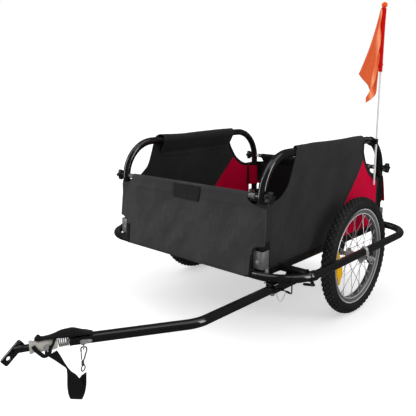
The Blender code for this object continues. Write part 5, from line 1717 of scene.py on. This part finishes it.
class EndWall:
    """One end wall: it runs up from its hem, over its cross bar and down inside.

    away is -1 for the front and 1 for the rear; low_y and top_y give its slope.
    """

    def __init__(self, away, leg_y, low_y, top_y):
        self.away = away
        self.leg_y = leg_y
        self.low_y = low_y
        self.slope = (top_y - low_y) / (BAR_Z - SLOPE_Z)

    def flat_y(self, z):
        return self.low_y + self.slope * (z - SLOPE_Z)

    def folds(self, x, z):
        edge = ramp(z, 0.245, 0.300) * (1 - ramp(z, 0.405, 0.440)) * (1 - ramp(abs(x), 0.19, 0.25))
        fold = noise.noise(Vector((x * 6.0 + z * 7.0, (z - x) * 2.6, 3.3 * self.away)))
        crease = noise.noise(Vector((x * 15.0 - z * 15.0, (x + z) * 4.0, 9.1)))
        return edge * (0.0095 * fold + 0.0062 * crease + 0.0024)

    def outer_place(self, x, z):
        """Where a point below the bar's middle lies; the wings curve round both legs."""
        top = ramp(z, TUCK_Z, BAR_Z)
        y = self.flat_y(z) * (1 - top) + (self.leg_y + self.away * BAR_WRAP_R) * top
        y += self.away * self.folds(x, z)
        reach = abs(x)
        if self.away < 0:
            hug = ramp(reach, 0.262, 0.290) * ramp(z, 0.292, 0.318)
            y = y * (1 - hug) + min(self.leg_y - FRONT_LEG_GAP, self.flat_y(z)) * hug
        if reach > HOOP_X and z > 0.30:
            bow = abs(y - self.leg_y)
            angle = (reach - HOOP_X) / bow
            x = copysign(HOOP_X + bow * sin(angle), x)
            y = self.leg_y + self.away * bow * cos(angle)
        return Vector((x, y, z))

    def place(self, x, rise):
        """Where a point of the wall lies, from its flat place across and up the cloth."""
        if rise <= BAR_Z:
            return self.outer_place(x, rise)
        past = rise - BAR_Z
        angle = min(past / BAR_WRAP_R, BAR_TURN)
        spot = Vector((self.leg_y + self.away * BAR_WRAP_R * cos(angle),
                       BAR_Z + BAR_WRAP_R * sin(angle)))
        run = past - BAR_WRAP_R * BAR_TURN
        if run > 0:
            inward = Vector((self.flat_y(TUCK_Z) - self.away * 0.0016, TUCK_Z)) - spot
            spot += inward.normalized() * min(run, inward.length)
            down = Vector((-self.slope, -1.0)).normalized()
            spot += down * max(run - inward.length, 0.0)
        return Vector((x, spot.x, spot.y))


FRONT_WALL = EndWall(-1, HOOP_FRONT_Y, -0.4592, -0.4354)
REAR_WALL = EndWall(1, HOOP_REAR_Y, 0.3425, 0.3056)
WALL_TOP_RISE = BAR_Z + BAR_WRAP_R * BAR_TURN + 0.0255 + 0.006


def low_corner(x, z, radius):
    """Quarter of a circle from its lowest point outwards, in seven steps."""
    angles = [pi / 2 * (step / 7 - 1) for step in range(8)]
    return [(x + radius * cos(angle), z + radius * sin(angle)) for angle in angles]


def front_outline():
    """Front wall's cut: rounded lower corners, wings round both legs, notched at the bar."""
    near = low_corner(0.2660, 0.2380, 0.0148)
    near += [(0.2812, 0.2900), (0.2835, 0.3060), (0.2900, 0.3135), (0.3020, 0.3150),
             (0.3190, 0.3160), (0.3208, 0.3190), (0.3208, 0.4130), (0.3180, 0.4200),
             (0.3030, 0.4260), (0.2850, 0.4300), (0.2660, 0.4345), (0.2550, 0.4420),
             (0.2515, 0.4500), (0.2510, WALL_TOP_RISE)]
    far = low_corner(0.2540, 0.2400, 0.0168) + [(0.2712, 0.2900), (0.2745, 0.3060)] + near[10:]
    return near + flipped(far)


def rear_outline():
    """Rear wall's cut, the same on both sides."""
    half = low_corner(0.2500, 0.2362, 0.0130)
    half += [(0.2640, 0.3000), (0.2680, 0.3150), (0.2760, 0.3220), (0.3110, 0.3235),
             (0.3110, 0.4130), (0.3075, 0.4200), (0.2980, 0.4235), (0.2720, 0.4252),
             (0.2570, 0.4275), (0.2522, 0.4340), (0.2515, 0.4500), (0.2510, WALL_TOP_RISE)]
    return half + flipped(half)


def end_wall(label, wall, outline, finish, flat_size):
    """One end wall with, at the rear, its red outer facing."""
    across = (spaced(-0.3208, -0.250, 0.0036) + spaced(-0.250, 0.250, 0.010)
              + spaced(0.250, 0.3208, 0.0036))
    up = spaced(END_LOW_Z, 0.420, COARSE) + spaced(0.420, WALL_TOP_RISE, 0.0027)
    shape = fold_cloth(sliced(outline, across, up), wall.place)
    area = sheet_area(shape, flat_size)
    made = replace(label + "_panel", shape, "gate_" + label, finish, crisp=80)
    thicken(made, CLOTH_THICKNESS)
    facing = []
    if label == "rear":
        lining = [(a, min(b, 0.4240)) for a, b in outline if b < 0.47]
        outer = fold_cloth(sliced(lining, across, spaced(END_LOW_Z, 0.424, COARSE)),
                           lambda x, rise: wall.place(x, rise) + BACK * 0.0011)
        facing.append(seat("rear_facing", outer, "gate_rear", RED_CLOTH, crisp=80))
        thicken(facing[0], 0.0009)


def bound_edge(name, edges, place, finish, thickness):
    """Binding along a wall's cut edges, each given with its count of steps and its width."""
    strips = [edge_strip(evenly(edge, count), width, place) for edge, count, width in edges]
    body = "gate_" + name.split("_")[0]
    thicken(seat(name, gather(*strips), body, finish, crisp=60), thickness)


def end_wall_trim(label, wall, outline):
    """Stitches across a wall and bindings along both of its side edges."""
    lift = BACK * wall.away * 0.0009
    rows = [stitches([(-reach, z), (reach, z)], wall.place, lift)
            for reach, z in ((0.246, 0.4235), (0.246, 0.4201), (0.252, 0.2320))]
    seat(label + "_seams", gather(*rows), "gate_" + label, THREAD, turn_out=False)
    top = BAR_Z + 0.01
    half = len(outline) // 2

    def between(low, high):
        return [[spot for spot in edge if low < spot[1] < high]
                for edge in (outline[:half], outline[half:])]

    # The front wall's bindings take its lighter, painted-light copy of the cloth.
    spans = [("_binding", 0, top, LIT_FRONT_CLOTH)]
    if label == "rear":
        spans = [("_binding", 0, 0.4135, RED_CLOTH), ("_top_binding", 0.4125, top, BLACK_TRIM)]
    for part, low, high, finish in spans:
        bound_edge(label + part, [(edge, 60, 0.0080) for edge in between(low, high)],
                   wall.place, finish, 0.0026)
    if label == "front":
        near, far = between(0, 0.300)
        bound_edge("front_corner_binding", [(near, 30, 0.0050), (far, 30, 0.0190)],
                   lambda x, z: wall.place(x, z) + lift, BLACK_TRIM, 0.0030)


def front_patch():
    """Bare patch sewn on the front wall over its bar."""
    left, right, low, high = -0.051, 0.072, 0.411, 0.457
    shape = fold_cloth(patch_of(left, right, low, high, 0.008, 0.0035),
                       lambda x, rise: FRONT_WALL.place(x, rise) - BACK * 0.0012)
    thicken(seat("front_patch", shape, "gate_front", PATCH_CLOTH, crisp=80), 0.0014)
    inset = 0.0030
    left, right, low, high = left + inset, right - inset, low + inset, high - inset
    square = [(left, low), (right, low), (right, high), (left, high), (left, low)]
    seat("front_patch_seam", stitches(square, FRONT_WALL.place, BACK * -0.0021), "gate_front",
         THREAD, turn_out=False)


def end_walls():
    """Both end walls with their trim, and the front one's bare patch."""
    walls = (("front", FRONT_WALL, front_outline()), ("rear", REAR_WALL, rear_outline()))
    end_wall(*walls[0], LIT_FRONT_CLOTH, (0.6256, 0.31))
    end_wall(*walls[1], SHADED_REAR_CLOTH, (0.6220, 0.31))
    for wall in walls:
        end_wall_trim(*wall)
    front_patch()


# Strap, eye and snap hook

STRAP_WIDTH = 0.025


def shared_out(length, count):
    """Even distances from 0 to a length."""
    return [length * step / count for step in range(count + 1)]


def strap_bands():
    """Webbing folded over the tube's end and the coupling, in two parts that meet."""
    rows = [(-0.050, 0.2158, 0.0105), (-0.036, 0.2185, 0.0155), (-0.018, 0.2268, 0.0168),
            (-0.008, 0.2298, 0.0170), (0.004, 0.2288, 0.0166), (0.018, 0.2282, 0.0150),
            (0.030, 0.2252, 0.0135), (0.040, 0.2230, 0.0122), (0.051, 0.2215, 0.0102),
            (0.061, 0.2218, 0.0090), (0.068, 0.2275, 0.0100), (0.0760, 0.2195, 0.0030)]
    tail = (DRAWBAR_TIP - DRAWBAR_BEND).normalized()
    sections = []
    for distance, z, half in smooth_rows(rows, 6):
        centre = DRAWBAR_TIP + (tail if distance < 0 else HITCH) * distance
        centre.z = z
        sections.append((centre, half, distance))
    meeting = min(range(len(sections)), key=lambda index: abs(sections[index][2] - 0.025))

    def lay(part, u, row):
        centre, half, distance = part[row]
        across = (u - 0.5) * 2
        droop = -max(0.0020, centre.z - 0.2165) * 0.95 * abs(across) ** 2.2
        ripple = 0.0007 * sin(90 * distance + 2.2 * across)
        return centre + ACROSS * half * across + UP * (droop + ripple)

    for name, part, bodies, span, nodes in (
            ("strap_band", sections[:meeting + 1], ("frame", "hitch_flex"), (-0.005, 0.020),
             ["strap_band"]),
            ("strap_band_front", sections[meeting:], ("hitch_flex", "hitch_block"),
             (0.030, 0.050), [])):
        run = shared_out(part[-1][2] - part[0][2], len(part) - 1)
        made = seat(name, cloth(10, STRAP_WIDTH, run, partial(lay, part)), None, WEBBING, *nodes)
        thicken(made, 0.0018)
        bend(made, *bodies, *map(hitch_point, span))


def strap_wraps():
    """Narrow webbing: a slanting turn round the coupling and a slack one that hangs in front."""
    turn = []
    for angle in turns(48):
        reach = 0.0168 + 0.0022 * cos(2 * angle)
        drop = 0.0165 if sin(angle) > 0 else 0.0235
        turn.append(hitch_point(0.0430 - 0.0110 * sin(angle)) + ACROSS * reach * cos(angle)
                    + UP * drop * sin(angle))
    wraps = sweep(turn, 0.0030, 12, True, HITCH, 0.36)
    slack = [(0.0800, 0.0150, 0.0080), (0.0735, 0.0172, -0.0030), (0.0650, 0.0186, -0.0125),
             (0.0590, 0.0188, -0.0178), (0.0520, 0.0180, -0.0165), (0.0470, 0.0160, -0.0120),
             (0.0440, 0.0148, 0.0020)]
    path = [hitch_point(ahead) - ACROSS * out + UP * rise for ahead, out, rise in slack]
    hanging = sweep(smooth_route(path, 6), 0.0044, 12, False, HITCH, 0.34)
    seat("strap_wraps", gather(wraps, hanging), "hitch_block", WEBBING_PLAIN)


STRAP_BASE = Vector((0.1960, -0.9760, 0.0))
STRAP_W = Vector((0.733, 0.680, 0.0))
STRAP_F = Vector((-0.680, 0.733, 0.0))
# Each row: across, height of the left edge, across, height of the right edge, depth
STRAP_ROWS = [(-0.0596, 0.1737, -0.0376, 0.1868, -0.0260), (-0.0441, 0.1621, -0.0311, 0.1741, -0.0250),
              (-0.0308, 0.1505, -0.0246, 0.1590, -0.0240), (-0.0216, 0.1415, -0.0178, 0.1446, -0.0225),
              (-0.0203, 0.1327, -0.0104, 0.1331, -0.0215), (-0.0204, 0.1223, 0.0010, 0.1233, -0.0210),
              (-0.0214, 0.1074, 0.0101, 0.1071, -0.0210), (-0.0219, 0.0924, 0.0181, 0.0896, -0.0210),
              (-0.0208, 0.0755, 0.0150, 0.0739, -0.0205), (-0.0180, 0.0603, 0.0080, 0.0591, -0.0160),
              (-0.0229, 0.0731, 0.0140, 0.0715, -0.0115), (-0.0231, 0.0819, 0.0184, 0.0916, -0.0105),
              (-0.0085, 0.0969, 0.0199, 0.1092, -0.0110), (0.0014, 0.1071, 0.0208, 0.1200, -0.0118),
              (0.0100, 0.1180, 0.0211, 0.1262, -0.0124)]


def strap_loop():
    """Webbing that hangs from the coupling, turns and comes up to the snap hook."""
    edges = []
    for left, low, right, high, depth in smooth_rows(STRAP_ROWS, 8):
        base = STRAP_BASE + STRAP_F * depth
        edges.append((base + STRAP_W * left + UP * low, base + STRAP_W * right + UP * high))
    centres = [(first + last) / 2 for first, last in edges]
    run = lengths_along(centres)
    meeting = [centre.z <= 0.160 for centre in centres].index(True)

    def lay(span, u, row):
        return span[row][0].lerp(span[row][1], u)

    for name, part, bodies, low, high, nodes in (
            ("strap_loop_top", slice(meeting + 1), ("hitch_flex", "hitch_block"), 0.162, 0.182, []),
            ("strap_loop", slice(meeting, None), ("frame", "hitch_flex"), 0.135, 0.160,
             ["strap_loop"])):
        shape = cloth(8, STRAP_WIDTH, run[part], partial(lay, edges[part]))
        made = seat(name, shape, None, WEBBING, *nodes)
        thicken(made, 0.0015)
        bend(made, *bodies, STRAP_BASE + UP * low, STRAP_BASE + UP * high)


EYE_SIDE = Vector((0.856, -0.517, 0.0))
EYE_TUBE = Vector((0.2064, -0.9655, DRAWBAR_Z))
EYE_CENTRE = EYE_TUBE + EYE_SIDE * 0.0135 - UP * 0.0150


def ring(centre, normal, major, minor, steps=32, sides=12):
    """Round wire ring square to its normal."""
    return sweep(circle(centre, normal, major, steps), minor, sides, True)


def tube_eye():
    """Plated clip round the drawbar with an eye for the snap hook."""
    tail = (DRAWBAR_BEND - DRAWBAR_TIP).normalized()
    band = collar(0.0127, 0.0140, 0.0050, (0.0004, 0.0005), EYE_TUBE, tail)
    oval = rounded([(-0.0070, -0.0056, 0), (0.0190, -0.0044, 0), (0.0190, 0.0044, 0),
                    (-0.0070, 0.0056, 0)], 0.0042, 6, True)
    face = EYE_TUBE + EYE_SIDE * 0.0140 - UP * 0.0015
    lug = plate([place.xy for place in oval], 0.0022, tail, UP, face, 0.0006)
    bolt = button_head(face + tail * 0.0120 + EYE_SIDE * 0.0012, EYE_SIDE, 0.0034, 0.0022)
    seat("tube_band", band, "frame", PAINT)
    replace("tube_eye", gather(lug, bolt, ring(EYE_CENTRE, tail, 0.0048, 0.0014)), "frame", ZINC)


def snap_hook():
    """Wire hook with a swivel, a ring for the strap and a sprung finger."""
    side = EYE_SIDE.cross(UP)

    def at(share, height):
        return EYE_CENTRE + side * 0.0062 * share + UP * height

    corners = [at(1, -0.0120), at(1, 0.0012), at(-1, 0.0012), at(-1, -0.0085),
               at(0.30, -0.0320), at(1, -0.0320)]
    hook = wire_shape(rounded(corners, 0.0045, 8), 0.0016, 14)
    stem = turned([(0.0, 0.0), (0.0022, 0.0), (0.0032, 0.0012), (0.0032, 0.0040),
                   (0.0024, 0.0048), (0.0024, 0.0062), (0.0034, 0.0068), (0.0034, 0.0110),
                   (0.0026, 0.0120), (0.0, 0.0120)], at(0.65, -0.0320), -UP, 24)
    eye = ring(at(0.65, -0.0505), side.cross(UP) + side * 1.1, 0.0066, 0.0014)
    replace("snap_hook", gather(hook, stem, eye), "hook_body", HOOK_WIRE)
    foot, tip = at(1, -0.0294), at(1, -0.0125)
    finger = wire_shape([foot, foot.lerp(tip, 0.5), tip], 0.0013, 12)
    replace("snap_gate", finger, "hook_keeper", HOOK_WIRE)


# Flag

POLE_X = 0.3145
POLE_Y = 0.2145
BALL_R = 0.0096
BALL_TOP = 1.0234
FLAG_TOP = [(0.2080, 1.0030), (0.1839, 0.9972), (0.1640, 0.9720), (0.1390, 0.9280),
            (0.1080, 0.8750), (0.0760, 0.8290), (0.0450, 0.7862)]
FLAG_MIDDLE = [(0.2075, 0.9000), (0.1960, 0.8850), (0.1850, 0.8600), (0.1700, 0.8300),
               (0.1580, 0.7930), (0.1460, 0.7640), (0.1360, 0.7340)]
FLAG_FOOT = [(0.2050, 0.8000), (0.1900, 0.7970), (0.1780, 0.7800), (0.1720, 0.7500),
             (0.1700, 0.7230), (0.1430, 0.7061), (0.1020, 0.6940)]


def flag_edge(part):
    """Row of the flag from the pole outwards, part 0 at its top, 1 at its middle, 2 at its foot."""
    first, second = (FLAG_TOP, FLAG_MIDDLE) if part <= 1 else (FLAG_MIDDLE, FLAG_FOOT)
    share = part if part <= 1 else part - 1
    return [(a[0] + (b[0] - a[0]) * share, a[1] + (b[1] - a[1]) * share)
            for a, b in zip(first, second)]


def flag():
    """Pennant that hangs from its pole in soft pleats, with its hemmed sleeve in painted shade."""
    rows = 40
    grid = [smooth_rows(flag_edge(2 * row / rows), 6) for row in range(rows + 1)]
    columns = len(grid[0]) - 1

    def lay(u, row):
        y, z = grid[row][round(u * columns)]
        part = 2 * row / rows
        pleat = 0.0040 * u * sin(pi * part)
        pleat += 0.0170 * u * (1 - 0.92 * u) * sin(3.2 * pi * part + 1.4 * u)
        return Vector((POLE_X + 0.0010 + 0.0043 * ramp(u, 0.10, 0.40) + pleat, y, z))

    shape = cloth(columns, 0.26, shared_out(0.20, rows), lay)
    flat_size = (0.34, 0.21)
    area = sheet_area(shape, flat_size)
    made = replace("flag", shape, "flag_mast", FLAG_CLOTH, crisp=80)
    thicken(made, 0.0008)
    sleeve = turned([(0.0038, -0.1030), (0.0050, -0.1034), (0.0054, -0.1020), (0.0052, -0.0500),
                     (0.0055, 0.0), (0.0052, 0.0600), (0.0054, 0.1020), (0.0050, 0.1034),
                     (0.0038, 0.1030)], (POLE_X, POLE_Y, 0.9000), UP, 24, True)
    inner_edge = [(POLE_X + 0.0010, POLE_Y - shift, z) for shift, z in (
        (0.0092, 0.798), (0.0092, 0.880), (0.0084, 0.960), (0.0058, 1.003))]
    fold = sweep(inner_edge, 0.0140, 24, False, BACK, 0.50)
    sleeve_piece = seat("flag_sleeve", gather(sleeve, fold), "flag_mast", SHADED_FLAG_SLEEVE, crisp=60)
    tie = ring((POLE_X + 0.0020, POLE_Y + 0.0080, 0.8215), (1, 0, 0.3), 0.0026, 0.0011, 24, 8)
    seat("flag_tie", tie, "flag_mast", FLAG_CLOTH)
    pole = turned([(0.0, 0.4000), (0.0022, 0.4004), (0.0035, 0.4030), (0.0035, 1.0080),
                   (0.0, 1.0080)], (POLE_X, POLE_Y, 0), UP, 24)
    replace("flag_pole", pole, "flag_mast", WHITE_ROD)
    arc = [pi * step / 20 for step in range(1, 20)]
    skin = [(BALL_R * sin(angle), BALL_R * (1 - cos(angle))) for angle in arc]
    ball = turned([(0.0, 0.0)] + skin + [(0.0, 2 * BALL_R)],
                  (POLE_X, POLE_Y, BALL_TOP - 2 * BALL_R), UP, 32)
    replace("flag_ball", ball, "flag_mast", ORANGE_BALL)


def pole_clip():
    """Moulded clip that grips the hoop's rear bend and holds the pole."""
    centre_y = HOOP_REAR_Y - HOOP_CORNER_R
    centre_z = HOOP_TOP_Z - HOOP_CORNER_R
    rise = sqrt(HOOP_CORNER_R ** 2 - (POLE_Y - centre_y) ** 2)
    place = Vector((HOOP_X, POLE_Y, centre_z + rise))
    tangent = Vector((0, rise, centre_y - POLE_Y)).normalized()
    band = collar(0.0128, 0.0158, 0.0062, (0.0006, 0.0006), place, tangent)
    holder = collar(0.0037, 0.0066, 0.0092, (0.0006, 0.0008), (POLE_X, POLE_Y, place.z), UP, 36)
    replace("pole_clip", gather(band, holder), "hoop_arm_left", KNOB)


for build in (studio, pin_lanyard, front_beam, wheel_guard, floor_piece):
    build()
for side, label in SIDES:
    for build in (side_rail, dropouts, axle_strap, axle, guard_pin, wheel, hoop, side_cloth,
                  side_trim):
        build(side, label)
    for leg_y, end in ENDS:
        for build in (leg_bracket, fold_bolt, star_knob):
            build(side, leg_y, end + "_" + label)
for leg_y, end in ENDS:
    cross_bar(leg_y, end)
for build in (end_walls, drawbar_bracket, drawbar, drawbar_bolt, drawbar_pin, hitch_spring,
              coupling, hitch_bar, strap_bands, strap_wraps, strap_loop, tube_eye, snap_hook,
              flag, pole_clip):
    build()
